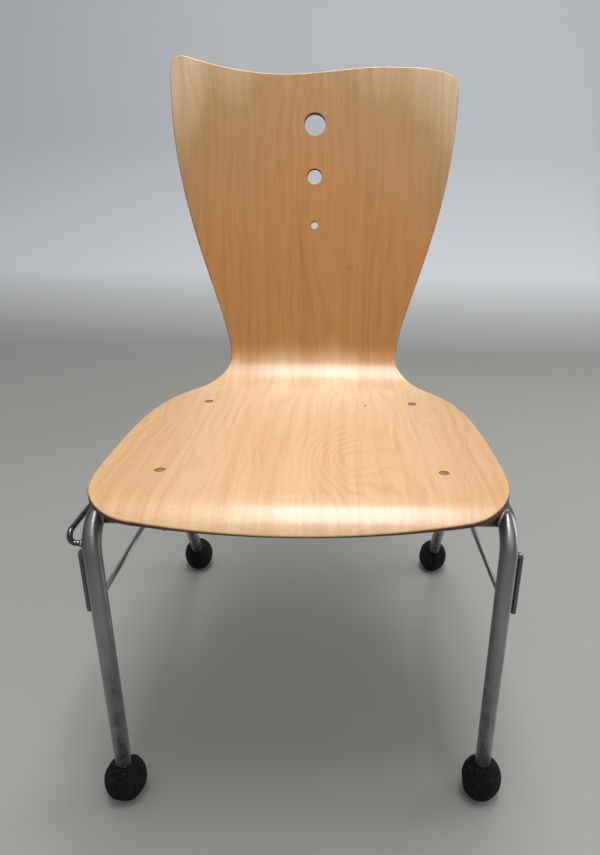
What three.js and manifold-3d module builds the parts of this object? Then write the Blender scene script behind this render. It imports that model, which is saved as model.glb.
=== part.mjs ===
// Stacking chair: a one-piece moulded plywood seat and back on a bent steel tube frame.
//
// Millimetres, +Z up. The sitter faces -Y, and X = 0 is the frame's middle plane.
// Every sub-part is one closed solid in its own named mesh.

import * as THREE from 'three';
import { mergeVertices } from 'three/addons/utils/BufferGeometryUtils.js';
import Module from 'manifold-3d';

const wasm = await Module();
wasm.setup();

// ---------------------------------------------------------------------------
// Driving dimensions
// ---------------------------------------------------------------------------

// Clearance left between pieces that touch, and between a screw and its hole.
const SEAT_GAP = 0.3;
const SCREW_CLEARANCE = 0.3;

// Side profile of the plywood, followed along its middle layer from the front edge.
const PLY_THICKNESS = 11;
const FRONT_EDGE_Y = -64.3;
const FRONT_EDGE_Z = 433.1;
const LIP_RADIUS = 45;
const LIP_ANGLE = 52.9;
const SEAT_FRONT_FALL = 5.4;
const SEAT_REAR_FALL = 1.5;
const SEAT_LENGTH = 318;
const BEND_RADIUS = 62.5;
const BACK_LOWER_ANGLE = 80;
const BACK_UPPER_ANGLE = 73.7;
const BACK_LENGTH = 400;

// Outline of the flat blank: half widths, and how far along the profile they lie.
const FRONT_EDGE_HALF_WIDTH = 150.8;
const FRONT_EDGE_BOW = 10.9;
const FRONT_CORNER_REACH = 48.9;
const SEAT_HALF_WIDTH = 209;
const SEAT_WIDEST_AT = 119.4;
const SHOULDER_HALF_WIDTH = 173.6;
const SHOULDER_AT = 341;
const SHOULDER_ANGLE = 33.5;
const WAIST_HALF_WIDTH = 119;
const WAIST_AT = 431.8;
const BACK_HALF_WIDTH = 193;
const BACK_WIDEST_AT = 792;

// How softly that outline curves, as shares of the length between two of its points.
const FRONT_CORNER_RISE = 0.1;
const SEAT_SIDE_ARRIVE = 0.596;
const SEAT_SIDE_LEAVE = 0.554;
const SHOULDER_ARRIVE = 0.225;
const SHOULDER_LEAVE = 0.338;
const WAIST_ARRIVE = 0.3;
const WAIST_LEAVE = 0.186;
const BACK_SIDE_ARRIVE = 0.477;

// Top edge: a raised ear on the -X side, a dip, a low hump and a rounded corner.
const EAR_X = -178;
const EAR_AT = 831;
const EAR_RISE = 26;
const EAR_REACH = 12;
const DIP_X = -47;
const DIP_AT = 810.5;
const HUMP_X = 100;
const HUMP_AT = 823;
const TOP_CORNER_X = 177;
const TOP_CORNER_AT = 817.3;
const TOP_CORNER_RADIUS = 17;
const CORNER_ROUNDNESS = 0.55;
const CORNER_RISE = 0.15;
const EDGE_SLOPE = -0.28;

// Round holes down the middle of the back.
const BACK_HOLES = [
  { at: 748, diameter: 29 },
  { at: 681, diameter: 20 },
  { at: 617, diameter: 10 },
];

// Frame tube and where its legs stand. The rails lie under the widest of the seat.
const TUBE_DIAMETER = 19;
const TUBE_WALL = 2;
const TUBE_BEND_RADIUS = 32;
const RAIL_OVERHANG = 5;
const RAIL_FLARE = 6;
const FRONT_LEG_SPLAY = 8.5;
const REAR_LEG_SPLAY = 2;
const FRONT_KNEE_X = SEAT_HALF_WIDTH + RAIL_OVERHANG;
const FRONT_KNEE_Y = -2;
const REAR_KNEE_X = FRONT_KNEE_X + RAIL_FLARE;
const REAR_KNEE_Y = 279;
const FRONT_FOOT_X = FRONT_KNEE_X + FRONT_LEG_SPLAY;
const REAR_FOOT_X = REAR_KNEE_X + REAR_LEG_SPLAY;
const FOOT_BASE = 467;
const CROSS_TUBE_SETBACK = 3;

// Screws that hold the plywood on the two cross tubes, set in from the side of the seat.
const FRONT_SCREW_INSET = 64;
const FRONT_SCREW_X = SEAT_HALF_WIDTH - FRONT_SCREW_INSET;
const FRONT_SCREW_AT = 97;
const REAR_SCREW_INSET = 75;
const REAR_SCREW_X = SEAT_HALF_WIDTH - REAR_SCREW_INSET;
const REAR_SCREW_AT = 309;
const SCREW_DIAMETER = 5;
const SCREW_HEAD_DIAMETER = 10.4;
const SCREW_HEAD_HEIGHT = 2.7;
const SCREW_HEAD_RIM = 0.4;
const SCREW_TIP_CHAMFER = 0.8;
const SADDLE_DIAMETER = 26;
const SADDLE_THICKNESS = 30;
const SADDLE_WRAP = 5;
const WASHER_DIAMETER = 15;
const WASHER_THICKNESS = 1.6;
const WASHER_WRAP = 2.5;
const NUT_ACROSS_FLATS = 8;
const NUT_HEIGHT = 4.5;
const SCREW_TIP = 2;

// Ball feet, pushed over the plugged tube ends.
const BALL_RADIUS = 25.5;
const BALL_HALF_HEIGHT = 31;
const BALL_CENTRE_Z = 29.5;
const TUBE_END_Z = 14;
const PLUG_FLANGE = 3;
const PLUG_STEM = 14;
const PLUG_CHAMFER = 1;

// Steel rods welded to the legs.
const ROD_DIAMETER = 6;
const STRETCHER_FRONT_Z = 309.5;
const STRETCHER_REAR_Z = 266;
const PIN_DIAMETER = 6.5;
const PIN_TOP_Z = 365;
const PIN_BOTTOM_Z = 284;
const PIN_SLOT = 7.8;
const PIN_SWEEP = 35;
const PIN_BEND_RADIUS = 7;
const LINK_FRONT_Z = 381.5;
const LINK_FRONT_REACH = 20;
const LINK_RISE = 13;
const LINK_REAR_Z = 369;
const LINK_REAR_REACH = 14;
const LINK_BEND_RADIUS = 6;

// Facet sizes: sides of round sections and the angle between stations in a bend.
const TUBE_SIDES = 16;
const ROD_SIDES = 10;
const BALL_SIDES = 24;
const BALL_RINGS = 10;
const BEND_STEP = 11;
const SHELL_COLUMNS = 14;
const SEAT_FRONT_ROWS = 10;
const SEAT_REAR_ROWS = 10;
const SHOULDER_ROWS = 9;
const BACK_ROWS = 14;
const CROWN_ROWS = 8;

// ---------------------------------------------------------------------------
// Materials
// ---------------------------------------------------------------------------

function material(color, roughness, metalness) {
  return new THREE.MeshStandardMaterial({ color, roughness, metalness });
}

const beech = () => material(0xdba878, 0.42, 0);
const chromedSteel = () => material(0x8d9192, 0.28, 1);
const bronzedSteel = () => material(0x6f4b3a, 0.45, 0.6);
const zincSteel = () => material(0xa3a6a6, 0.4, 1);
const blackFoam = () => material(0x141416, 0.95, 0);
const blackNylon = () => material(0x1d1d1f, 0.6, 0);

// ---------------------------------------------------------------------------
// Solids: joining and cutting closed meshes
// ---------------------------------------------------------------------------

const radians = THREE.MathUtils.degToRad;

function toSolid(geometry) {
  const bare = geometry.clone();
  bare.deleteAttribute('normal');
  bare.deleteAttribute('uv');
  const merged = mergeVertices(bare, 1e-4);
  return new wasm.Manifold(new wasm.Mesh({
    numProp: 3,
    vertProperties: new Float32Array(merged.attributes.position.array),
    triVerts: new Uint32Array(merged.index.array),
  }));
}

function toGeometry(solid) {
  const mesh = solid.getMesh();
  const geometry = new THREE.BufferGeometry();
  geometry.setAttribute('position', new THREE.BufferAttribute(mesh.vertProperties, 3));
  geometry.setIndex(new THREE.BufferAttribute(mesh.triVerts, 1));
  geometry.computeVertexNormals();
  return geometry;
}

function cut(geometry, ...tools) {
  let solid = toSolid(geometry);
  for (const tool of tools) {
    solid = solid.subtract(toSolid(tool));
  }
  return toGeometry(solid);
}

// ---------------------------------------------------------------------------
// Round bars and tubes
// ---------------------------------------------------------------------------

// A line through corners that are rounded to a bend radius. Its stations are the ends
// of the straight runs and even steps round each bend.
class BentLine extends THREE.Curve {
  constructor(corners, bendRadius) {
    super();
    this.stations = [];
    const last = corners.length - 1;
    this.addStation(corners[0], corners[1].clone().sub(corners[0]));
    for (let i = 1; i < last; i += 1) {
      this.addBend(corners[i - 1], corners[i], corners[i + 1], bendRadius);
    }
    this.addStation(corners[last], corners[last].clone().sub(corners[last - 1]));
  }

  addStation(point, direction) {
    this.stations.push({ point: point.clone(), tangent: direction.clone().normalize() });
  }

  addBend(before, corner, after, bendRadius) {
    const incoming = corner.clone().sub(before).normalize();
    const outgoing = after.clone().sub(corner).normalize();
    const turn = incoming.angleTo(outgoing);
    const setback = bendRadius * Math.tan(turn / 2);
    const axis = incoming.clone().cross(outgoing).normalize();
    const start = corner.clone().addScaledVector(incoming, -setback);
    const inward = axis.clone().cross(incoming);
    const centre = start.clone().addScaledVector(inward, bendRadius);
    const steps = Math.max(2, Math.round(turn / radians(BEND_STEP)));
    for (let i = 0; i <= steps; i += 1) {
      const angle = (turn * i) / steps;
      const spoke = inward.clone().multiplyScalar(-bendRadius).applyAxisAngle(axis, angle);
      this.addStation(centre.clone().add(spoke), incoming.clone().applyAxisAngle(axis, angle));
    }
  }

  get steps() {
    return this.stations.length - 1;
  }

  stationAt(u) {
    return this.stations[Math.round(u * this.steps)];
  }

  getPointAt(u) {
    return this.stationAt(u).point.clone();
  }

  getTangentAt(u) {
    return this.stationAt(u).tangent.clone();
  }

  getPoint(t) {
    return this.getPointAt(t);
  }

  getTangent(t) {
    return this.getTangentAt(t);
  }
}

function disc(radius) {
  return new THREE.Shape().absarc(0, 0, radius, 0, Math.PI * 2, false);
}

function ring(outerRadius, innerRadius) {
  const shape = disc(outerRadius);
  shape.holes.push(new THREE.Path().absarc(0, 0, innerRadius, 0, Math.PI * 2, true));
  return shape;
}

function sweep(section, line, sides) {
  return new THREE.ExtrudeGeometry(section, {
    extrudePath: line,
    steps: line.steps,
    curveSegments: sides / 2,
    bevelEnabled: false,
  });
}

function bar(line, diameter, sides = ROD_SIDES) {
  return sweep(disc(diameter / 2), line, sides);
}

function tube(line) {
  return sweep(ring(TUBE_DIAMETER / 2, TUBE_DIAMETER / 2 - TUBE_WALL), line, TUBE_SIDES);
}

// A turned piece: the profile is a list of [radius, height] on a given axis line.
function turned(profile, sides, origin, axis) {
  const points = profile.map(([radius, height]) => new THREE.Vector2(radius, height));
  const geometry = new THREE.LatheGeometry(points, sides);
  const upright = new THREE.Vector3(0, 1, 0);
  geometry.applyQuaternion(new THREE.Quaternion().setFromUnitVectors(upright, axis));
  return geometry.translate(origin.x, origin.y, origin.z);
}

function drill(radius, from, to, sides = TUBE_SIDES) {
  const axis = to.clone().sub(from);
  const length = axis.length();
  const profile = [[0, 0], [radius, 0], [radius, length], [0, length]];
  return turned(profile, sides, from, axis.normalize());
}

// ---------------------------------------------------------------------------
// Plywood shell
// ---------------------------------------------------------------------------

// The side profile is four arcs, each with a length and the angle that it turns through.
const PROFILE_ARCS = [
  {
    length: LIP_RADIUS * radians(LIP_ANGLE + SEAT_FRONT_FALL),
    turn: -radians(LIP_ANGLE + SEAT_FRONT_FALL),
  },
  { length: SEAT_LENGTH, turn: radians(SEAT_FRONT_FALL - SEAT_REAR_FALL) },
  {
    length: BEND_RADIUS * radians(BACK_LOWER_ANGLE + SEAT_REAR_FALL),
    turn: radians(BACK_LOWER_ANGLE + SEAT_REAR_FALL),
  },
  { length: BACK_LENGTH, turn: -radians(BACK_LOWER_ANGLE - BACK_UPPER_ANGLE) },
];

// Where the middle layer is, and which way it heads, a distance along the profile.
function profileAt(distance) {
  let y = FRONT_EDGE_Y;
  let z = FRONT_EDGE_Z;
  let angle = radians(LIP_ANGLE);
  let left = distance;
  PROFILE_ARCS.forEach(({ length, turn }, index) => {
    const last = index === PROFILE_ARCS.length - 1;
    const run = last ? left : Math.min(left, length);
    const swept = (turn * run) / length;
    const chord = run * (Math.abs(swept) < 1e-9 ? 1 : Math.sin(swept / 2) / (swept / 2));
    y += chord * Math.cos(angle + swept / 2);
    z += chord * Math.sin(angle + swept / 2);
    angle += swept;
    left -= run;
  });
  return { y, z, angle };
}

// A point of the shell: across the blank, along the profile, and off its middle layer.
function shellPoint(x, along, offset) {
  const { y, z, angle } = profileAt(along);
  return new THREE.Vector3(x, y - offset * Math.sin(angle), z + offset * Math.cos(angle));
}

function shellNormal(along) {
  const { angle } = profileAt(along);
  return new THREE.Vector3(0, -Math.sin(angle), Math.cos(angle));
}

// A cubic through two points of the blank, leaving and arriving with given handles.
function blankCurve(from, leave, arrive, to) {
  return new THREE.CubicBezierCurve(
    new THREE.Vector2(...from),
    new THREE.Vector2(from[0] + leave[0], from[1] + leave[1]),
    new THREE.Vector2(to[0] - arrive[0], to[1] - arrive[1]),
    new THREE.Vector2(...to),
  );
}

// The edge of the blank on one side, from the front corner up to the widest of the back.
function sideEdge() {
  const slant = radians(SHOULDER_ANGLE);
  const heading = (length) => [-length * Math.sin(slant), length * Math.cos(slant)];
  const frontCorner = [FRONT_EDGE_HALF_WIDTH, FRONT_EDGE_BOW];
  const seatSide = [SEAT_HALF_WIDTH, SEAT_WIDEST_AT];
  const shoulder = [SHOULDER_HALF_WIDTH, SHOULDER_AT];
  const waist = [WAIST_HALF_WIDTH, WAIST_AT];
  const backSide = [BACK_HALF_WIDTH, BACK_WIDEST_AT];
  const toSeatSide = SEAT_WIDEST_AT - FRONT_EDGE_BOW;
  const toShoulder = SHOULDER_AT - SEAT_WIDEST_AT;
  const toWaist = WAIST_AT - SHOULDER_AT;
  const toBack = BACK_WIDEST_AT - WAIST_AT;
  const curves = [
    {
      curve: blankCurve(
        frontCorner,
        [FRONT_CORNER_REACH, FRONT_CORNER_REACH * FRONT_CORNER_RISE],
        [0, toSeatSide * SEAT_SIDE_ARRIVE],
        seatSide,
      ),
      rows: SEAT_FRONT_ROWS,
    },
    {
      curve: blankCurve(
        seatSide,
        [0, toShoulder * SEAT_SIDE_LEAVE],
        heading(toShoulder * SHOULDER_ARRIVE),
        shoulder,
      ),
      rows: SEAT_REAR_ROWS,
    },
    {
      curve: blankCurve(
        shoulder,
        heading(toWaist * SHOULDER_LEAVE),
        [0, toWaist * WAIST_ARRIVE],
        waist,
      ),
      rows: SHOULDER_ROWS,
    },
    {
      curve: blankCurve(waist, [0, toBack * WAIST_LEAVE], [0, toBack * BACK_SIDE_ARRIVE], backSide),
      rows: BACK_ROWS,
    },
  ];
  const points = curves.flatMap(({ curve, rows }) => curve.getPoints(rows).slice(1));
  return [new THREE.Vector2(...frontCorner), ...points];
}

// Height of a smooth step between two points of the top edge, with a slope at each.
function hermite(from, to, x) {
  const span = to.x - from.x;
  const t = (x - from.x) / span;
  const t2 = t * t;
  const t3 = t2 * t;
  return (2 * t3 - 3 * t2 + 1) * from.at + (t3 - 2 * t2 + t) * span * from.slope
    + (3 * t2 - 2 * t3) * to.at + (t3 - t2) * span * to.slope;
}

const TOP_EDGE_KNOTS = [
  { x: EAR_X, at: EAR_AT, slope: EDGE_SLOPE },
  { x: DIP_X, at: DIP_AT, slope: 0 },
  { x: HUMP_X, at: HUMP_AT, slope: 0 },
  { x: TOP_CORNER_X, at: TOP_CORNER_AT, slope: EDGE_SLOPE },
];

function topEdgeAt(x) {
  const next = TOP_EDGE_KNOTS.findIndex((knot, i) => i > 0 && x <= knot.x);
  const end = next < 0 ? TOP_EDGE_KNOTS.length - 1 : next;
  return hermite(TOP_EDGE_KNOTS[end - 1], TOP_EDGE_KNOTS[end], x);
}

// The two ends of each row between the widest of the back and the wavy top edge.
function crownEnds(rows) {
  const cornerStart = TOP_CORNER_AT - TOP_CORNER_RADIUS;
  const ear = blankCurve(
    [-BACK_HALF_WIDTH, BACK_WIDEST_AT],
    [0, EAR_RISE],
    [EAR_REACH, 0],
    [EAR_X, EAR_AT],
  );
  const corner = blankCurve(
    [BACK_HALF_WIDTH, BACK_WIDEST_AT],
    [0, cornerStart - BACK_WIDEST_AT + TOP_CORNER_RADIUS * CORNER_ROUNDNESS],
    [-TOP_CORNER_RADIUS * CORNER_ROUNDNESS, TOP_CORNER_RADIUS * CORNER_RISE],
    [TOP_CORNER_X, TOP_CORNER_AT],
  );
  const left = ear.getPoints(rows);
  const right = corner.getPoints(rows);
  return left.map((point, i) => ({ left: point, right: right[i], share: i / rows })).slice(1);
}

// All rows of the blank from the front edge to the top edge, as points across it.
function blankRows() {
  const rows = [];
  const across = Array.from({ length: SHELL_COLUMNS + 1 }, (_, j) => (2 * j) / SHELL_COLUMNS - 1);
  for (const edge of sideEdge()) {
    const bow = FRONT_EDGE_BOW * Math.max(0, 1 - (edge.y - FRONT_EDGE_BOW) / SEAT_WIDEST_AT);
    rows.push(across.map((c) => new THREE.Vector2(c * edge.x, edge.y - bow * (1 - c * c))));
  }
  const chord = { x: TOP_CORNER_X - EAR_X, at: TOP_CORNER_AT - EAR_AT };
  for (const { left, right, share } of crownEnds(CROWN_ROWS)) {
    rows.push(across.map((c) => {
      const fraction = (c + 1) / 2;
      const topX = EAR_X + chord.x * fraction;
      const wave = topEdgeAt(topX) - (EAR_AT + chord.at * fraction);
      return new THREE.Vector2(
        THREE.MathUtils.lerp(left.x, right.x, fraction),
        THREE.MathUtils.lerp(left.y, right.y, fraction) + wave * share,
      );
    }));
  }
  return rows;
}

// The bent board: a grid on the upper face, one on the lower face, and a rim between.
function bentBoard() {
  const rows = blankRows();
  const width = rows[0].length;
  const count = rows.length * width;
  const positions = [];
  for (const offset of [PLY_THICKNESS / 2, -PLY_THICKNESS / 2]) {
    for (const row of rows) {
      for (const point of row) {
        positions.push(...shellPoint(point.x, point.y, offset).toArray());
      }
    }
  }
  const index = [];
  const quad = (a, b, c, d) => index.push(a, b, c, a, c, d);
  const upper = (i, j) => i * width + j;
  const lower = (i, j) => count + i * width + j;
  const lastRow = rows.length - 1;
  const lastColumn = width - 1;
  for (let i = 0; i < lastRow; i += 1) {
    for (let j = 0; j < lastColumn; j += 1) {
      quad(upper(i, j), upper(i, j + 1), upper(i + 1, j + 1), upper(i + 1, j));
      quad(lower(i, j), lower(i + 1, j), lower(i + 1, j + 1), lower(i, j + 1));
    }
    quad(upper(i, 0), upper(i + 1, 0), lower(i + 1, 0), lower(i, 0));
    quad(upper(i + 1, lastColumn), upper(i, lastColumn), lower(i, lastColumn), lower(i + 1, lastColumn));
  }
  for (let j = 0; j < lastColumn; j += 1) {
    quad(upper(0, j + 1), upper(0, j), lower(0, j), lower(0, j + 1));
    quad(upper(lastRow, j), upper(lastRow, j + 1), lower(lastRow, j + 1), lower(lastRow, j));
  }
  const geometry = new THREE.BufferGeometry();
  geometry.setAttribute('position', new THREE.Float32BufferAttribute(positions, 3));
  geometry.setIndex(index);
  return geometry;
}

function backHole({ at, diameter }) {
  const from = shellPoint(0, at, -PLY_THICKNESS);
  const to = shellPoint(0, at, PLY_THICKNESS);
  return drill(diameter / 2, from, to, BALL_SIDES);
}

// ---------------------------------------------------------------------------
// Screw stations: where each screw crosses the plywood, saddle, cross tube and nut
// ---------------------------------------------------------------------------

const TUBE_DEPTH = PLY_THICKNESS / 2 + SEAT_GAP + SADDLE_THICKNESS + SEAT_GAP + TUBE_DIAMETER / 2;

function screwStation(x, along) {
  const normal = shellNormal(along);
  const below = (depth) => shellPoint(x, along, -depth);
  return {
    x,
    down: normal.clone().negate(),
    normal,
    top: below(-PLY_THICKNESS / 2),
    underside: below(PLY_THICKNESS / 2),
    tubeCentre: below(TUBE_DEPTH),
    tubeBottom: below(TUBE_DEPTH + TUBE_DIAMETER / 2),
  };
}

const SCREW_STATIONS = {
  front_left: screwStation(-FRONT_SCREW_X, FRONT_SCREW_AT),
  front_right: screwStation(FRONT_SCREW_X, FRONT_SCREW_AT),
  rear_left: screwStation(-REAR_SCREW_X, REAR_SCREW_AT),
  rear_right: screwStation(REAR_SCREW_X, REAR_SCREW_AT),
};

// Screw: a countersunk head flush with the seat, and a shank that ends below its nut.
const NUT_TOP = SEAT_GAP + WASHER_THICKNESS + SEAT_GAP;
const SCREW_LENGTH = PLY_THICKNESS / 2 + TUBE_DEPTH + TUBE_DIAMETER / 2 + NUT_TOP + NUT_HEIGHT
  + SCREW_TIP;

function screw({ top, down }) {
  const shank = SCREW_DIAMETER / 2;
  const head = SCREW_HEAD_DIAMETER / 2;
  const profile = [
    [0, 0],
    [head, 0],
    [head, SCREW_HEAD_RIM],
    [shank, SCREW_HEAD_HEIGHT],
    [shank, SCREW_LENGTH - SCREW_TIP_CHAMFER],
    [shank - SCREW_TIP_CHAMFER, SCREW_LENGTH],
    [0, SCREW_LENGTH],
  ];
  return turned(profile, TUBE_SIDES, top, down);
}

// The hole starts one unit above the seat, so the heights below it are one unit more.
function screwHole({ top, normal, down }) {
  const above = top.clone().add(normal);
  const hole = SCREW_DIAMETER / 2 + SCREW_CLEARANCE;
  const head = SCREW_HEAD_DIAMETER / 2 + SCREW_CLEARANCE;
  const profile = [
    [0, 0],
    [head, 0],
    [head, 1 + SCREW_HEAD_RIM + SCREW_CLEARANCE],
    [hole, 1 + SCREW_HEAD_HEIGHT + SCREW_CLEARANCE],
    [hole, SCREW_LENGTH + SCREW_TIP],
    [0, SCREW_LENGTH + SCREW_TIP],
  ];
  return turned(profile, TUBE_SIDES, above, down);
}

function plywoodShell() {
  const holes = BACK_HOLES.map(backHole);
  const screwHoles = Object.values(SCREW_STATIONS).map(screwHole);
  return cut(bentBoard(), ...holes, ...screwHoles);
}

// ---------------------------------------------------------------------------
// Tube frame
// ---------------------------------------------------------------------------

// Both rails lie in the plane of the two cross tubes.
function railHeightAt(y) {
  const front = SCREW_STATIONS.front_left.tubeCentre;
  const rear = SCREW_STATIONS.rear_left.tubeCentre;
  return THREE.MathUtils.mapLinear(y, front.y, rear.y, front.z, rear.z);
}

// Corners of one side frame: front foot, front knee, rear knee, rear foot.
function frameCorners(side) {
  const frontKnee = new THREE.Vector3(side * FRONT_KNEE_X, FRONT_KNEE_Y, railHeightAt(FRONT_KNEE_Y));
  const rearKnee = new THREE.Vector3(side * REAR_KNEE_X, REAR_KNEE_Y, railHeightAt(REAR_KNEE_Y));
  const frontFoot = new THREE.Vector3(side * FRONT_FOOT_X, 0, BALL_CENTRE_Z);
  const rearFoot = new THREE.Vector3(side * REAR_FOOT_X, FOOT_BASE, BALL_CENTRE_Z);
  return { frontFoot, frontKnee, rearKnee, rearFoot };
}

// A point of a leg's axis at a given height.
function legPoint(foot, knee, z) {
  return foot.clone().lerp(knee, (z - foot.z) / (knee.z - foot.z));
}

function frameLine(side) {
  const { frontFoot, frontKnee, rearKnee, rearFoot } = frameCorners(side);
  return new BentLine([
    legPoint(frontFoot, frontKnee, TUBE_END_Z),
    frontKnee,
    rearKnee,
    legPoint(rearFoot, rearKnee, TUBE_END_Z),
  ], TUBE_BEND_RADIUS);
}

// The room that a side frame takes up, with the gap to whatever is welded to it.
function frameRoom(side) {
  return bar(frameLine(side), TUBE_DIAMETER + 2 * SEAT_GAP, TUBE_SIDES);
}

// A cross tube runs from rail to rail, is notched to fit them and drilled for two screws.
// The tips of its notched ends stop short of the rails' axes.
function crossTube(leftStation, rightStation) {
  const { y, z } = leftStation.tubeCentre;
  const reach = railXAt(y) - CROSS_TUBE_SETBACK;
  const ends = [-1, 1].map((side) => new THREE.Vector3(side * reach, y, z));
  const holes = [leftStation, rightStation].map(screwHole);
  return cut(tube(new BentLine(ends, TUBE_BEND_RADIUS)), frameRoom(-1), frameRoom(1), ...holes);
}

function railXAt(y) {
  return THREE.MathUtils.mapLinear(y, FRONT_KNEE_Y, REAR_KNEE_Y, FRONT_KNEE_X, REAR_KNEE_X);
}

// A saddle block holds the seat off the round cross tube and is hollowed to fit it.
function saddle(station) {
  const { underside, down, tubeCentre } = station;
  const start = underside.clone().addScaledVector(down, SEAT_GAP);
  const end = start.clone().addScaledVector(down, SADDLE_THICKNESS + SADDLE_WRAP);
  return cut(
    drill(SADDLE_DIAMETER / 2, start, end, BALL_SIDES),
    crossTubeRoom(tubeCentre),
    screwHole(station),
  );
}

function crossTubeRoom(centre) {
  const reach = new THREE.Vector3(SADDLE_DIAMETER, 0, 0);
  return drill(TUBE_DIAMETER / 2 + SEAT_GAP, centre.clone().sub(reach), centre.clone().add(reach));
}

// A curved washer spreads the nut's load under the cross tube.
function washer(station) {
  const { down, tubeBottom, tubeCentre } = station;
  const end = tubeBottom.clone().addScaledVector(down, SEAT_GAP + WASHER_THICKNESS);
  const start = tubeBottom.clone().addScaledVector(down, -WASHER_WRAP);
  return cut(
    drill(WASHER_DIAMETER / 2, start, end),
    crossTubeRoom(tubeCentre),
    screwHole(station),
  );
}

function nut(station) {
  const { down, tubeBottom } = station;
  const start = tubeBottom.clone().addScaledVector(down, NUT_TOP);
  const end = start.clone().addScaledVector(down, NUT_HEIGHT);
  return cut(drill(NUT_ACROSS_FLATS / Math.sqrt(3), start, end, 6), screwHole(station));
}

// ---------------------------------------------------------------------------
// Feet
// ---------------------------------------------------------------------------

function footAxis(foot, knee) {
  return knee.clone().sub(foot).normalize();
}

// A plug closes the tube end: a flange across it and a stem pushed up inside.
function endPlug(foot, knee) {
  const axis = footAxis(foot, knee);
  const stem = TUBE_DIAMETER / 2 - TUBE_WALL - SEAT_GAP;
  const end = legPoint(foot, knee, TUBE_END_Z).addScaledVector(axis, -SEAT_GAP - PLUG_FLANGE);
  const profile = [
    [0, 0],
    [TUBE_DIAMETER / 2 - PLUG_CHAMFER, 0],
    [TUBE_DIAMETER / 2, PLUG_CHAMFER],
    [TUBE_DIAMETER / 2, PLUG_FLANGE],
    [stem, PLUG_FLANGE],
    [stem, PLUG_FLANGE + PLUG_STEM],
    [0, PLUG_FLANGE + PLUG_STEM],
  ];
  return turned(profile, TUBE_SIDES, end, axis);
}

// A soft ball with a small flat underneath, bored along the leg that stands in it.
function ballFoot(foot, knee) {
  const axis = footAxis(foot, knee);
  const floorAngle = Math.acos(BALL_CENTRE_Z / BALL_HALF_HEIGHT);
  const profile = [[0, 0]];
  for (let i = 0; i <= BALL_RINGS; i += 1) {
    const angle = THREE.MathUtils.lerp(floorAngle, Math.PI, i / BALL_RINGS);
    const radius = i === BALL_RINGS ? 0 : BALL_RADIUS * Math.sin(angle);
    profile.push([radius, BALL_CENTRE_Z - BALL_HALF_HEIGHT * Math.cos(angle)]);
  }
  const ground = new THREE.Vector3(foot.x, foot.y, 0);
  const ball = turned(profile, BALL_SIDES, ground, new THREE.Vector3(0, 0, 1));
  const boreEnd = legPoint(foot, knee, TUBE_END_Z).addScaledVector(axis, -2 * SEAT_GAP - PLUG_FLANGE);
  const boreStart = boreEnd.clone().addScaledVector(axis, 3 * BALL_RADIUS);
  return cut(ball, drill(TUBE_DIAMETER / 2 + SEAT_GAP, boreEnd, boreStart, BALL_SIDES));
}

// ---------------------------------------------------------------------------
// Welded rods
// ---------------------------------------------------------------------------

// A thin stretcher joins the front and rear legs of one side.
function stretcher(side) {
  const { frontFoot, frontKnee, rearKnee, rearFoot } = frameCorners(side);
  const front = legPoint(frontFoot, frontKnee, STRETCHER_FRONT_Z);
  const rear = legPoint(rearFoot, rearKnee, STRETCHER_REAR_Z);
  const line = new BentLine([front, rear], ROD_DIAMETER);
  return cut(bar(line, ROD_DIAMETER), frameRoom(side));
}

// A linking pin leaves the front leg, turns down and hangs beside it with a slot between.
function linkPin(side) {
  const { frontFoot, frontKnee } = frameCorners(side);
  const reach = TUBE_DIAMETER / 2 + PIN_SLOT + PIN_DIAMETER / 2;
  const outward = new THREE.Vector3(side * Math.cos(radians(PIN_SWEEP)), Math.sin(radians(PIN_SWEEP)), 0);
  const top = legPoint(frontFoot, frontKnee, PIN_TOP_Z);
  const corner = top.clone().addScaledVector(outward, reach);
  const end = legPoint(frontFoot, frontKnee, PIN_BOTTOM_Z).addScaledVector(outward, reach);
  return cut(bar(new BentLine([top, corner, end], PIN_BEND_RADIUS), PIN_DIAMETER), frameRoom(side));
}

// A linking rail on the -X side only: out from the front leg, up, back and in to the rear leg.
function linkRail() {
  const side = -1;
  const { frontFoot, frontKnee, rearKnee, rearFoot } = frameCorners(side);
  const front = legPoint(frontFoot, frontKnee, LINK_FRONT_Z);
  const rear = legPoint(rearFoot, rearKnee, LINK_REAR_Z);
  const outside = front.clone().add(new THREE.Vector3(side * LINK_FRONT_REACH, 0, 0));
  const above = outside.clone().add(new THREE.Vector3(0, 0, LINK_RISE));
  const behind = rear.clone().add(new THREE.Vector3(side * LINK_REAR_REACH, 0, 0));
  const line = new BentLine([front, outside, above, behind, rear], LINK_BEND_RADIUS);
  return cut(bar(line, ROD_DIAMETER), frameRoom(side));
}

// ---------------------------------------------------------------------------
// Assembly
// ---------------------------------------------------------------------------

const chair = new THREE.Group();

function addPart(name, geometry, finish) {
  const mesh = new THREE.Mesh(geometry, finish);
  mesh.name = name;
  chair.add(mesh);
}

addPart('seat_and_back_shell', plywoodShell(), beech());

for (const [hand, side] of [['left', -1], ['right', 1]]) {
  const { frontFoot, frontKnee, rearKnee, rearFoot } = frameCorners(side);
  addPart(`${hand}_side_frame`, tube(frameLine(side)), chromedSteel());
  addPart(`${hand}_stretcher_rod`, stretcher(side), chromedSteel());
  addPart(`${hand}_linking_pin`, linkPin(side), chromedSteel());
  addPart(`front_${hand}_tube_plug`, endPlug(frontFoot, frontKnee), blackNylon());
  addPart(`rear_${hand}_tube_plug`, endPlug(rearFoot, rearKnee), blackNylon());
  addPart(`front_${hand}_ball_foot`, ballFoot(frontFoot, frontKnee), blackFoam());
  addPart(`rear_${hand}_ball_foot`, ballFoot(rearFoot, rearKnee), blackFoam());
}

addPart('left_linking_rail', linkRail(), chromedSteel());

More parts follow.
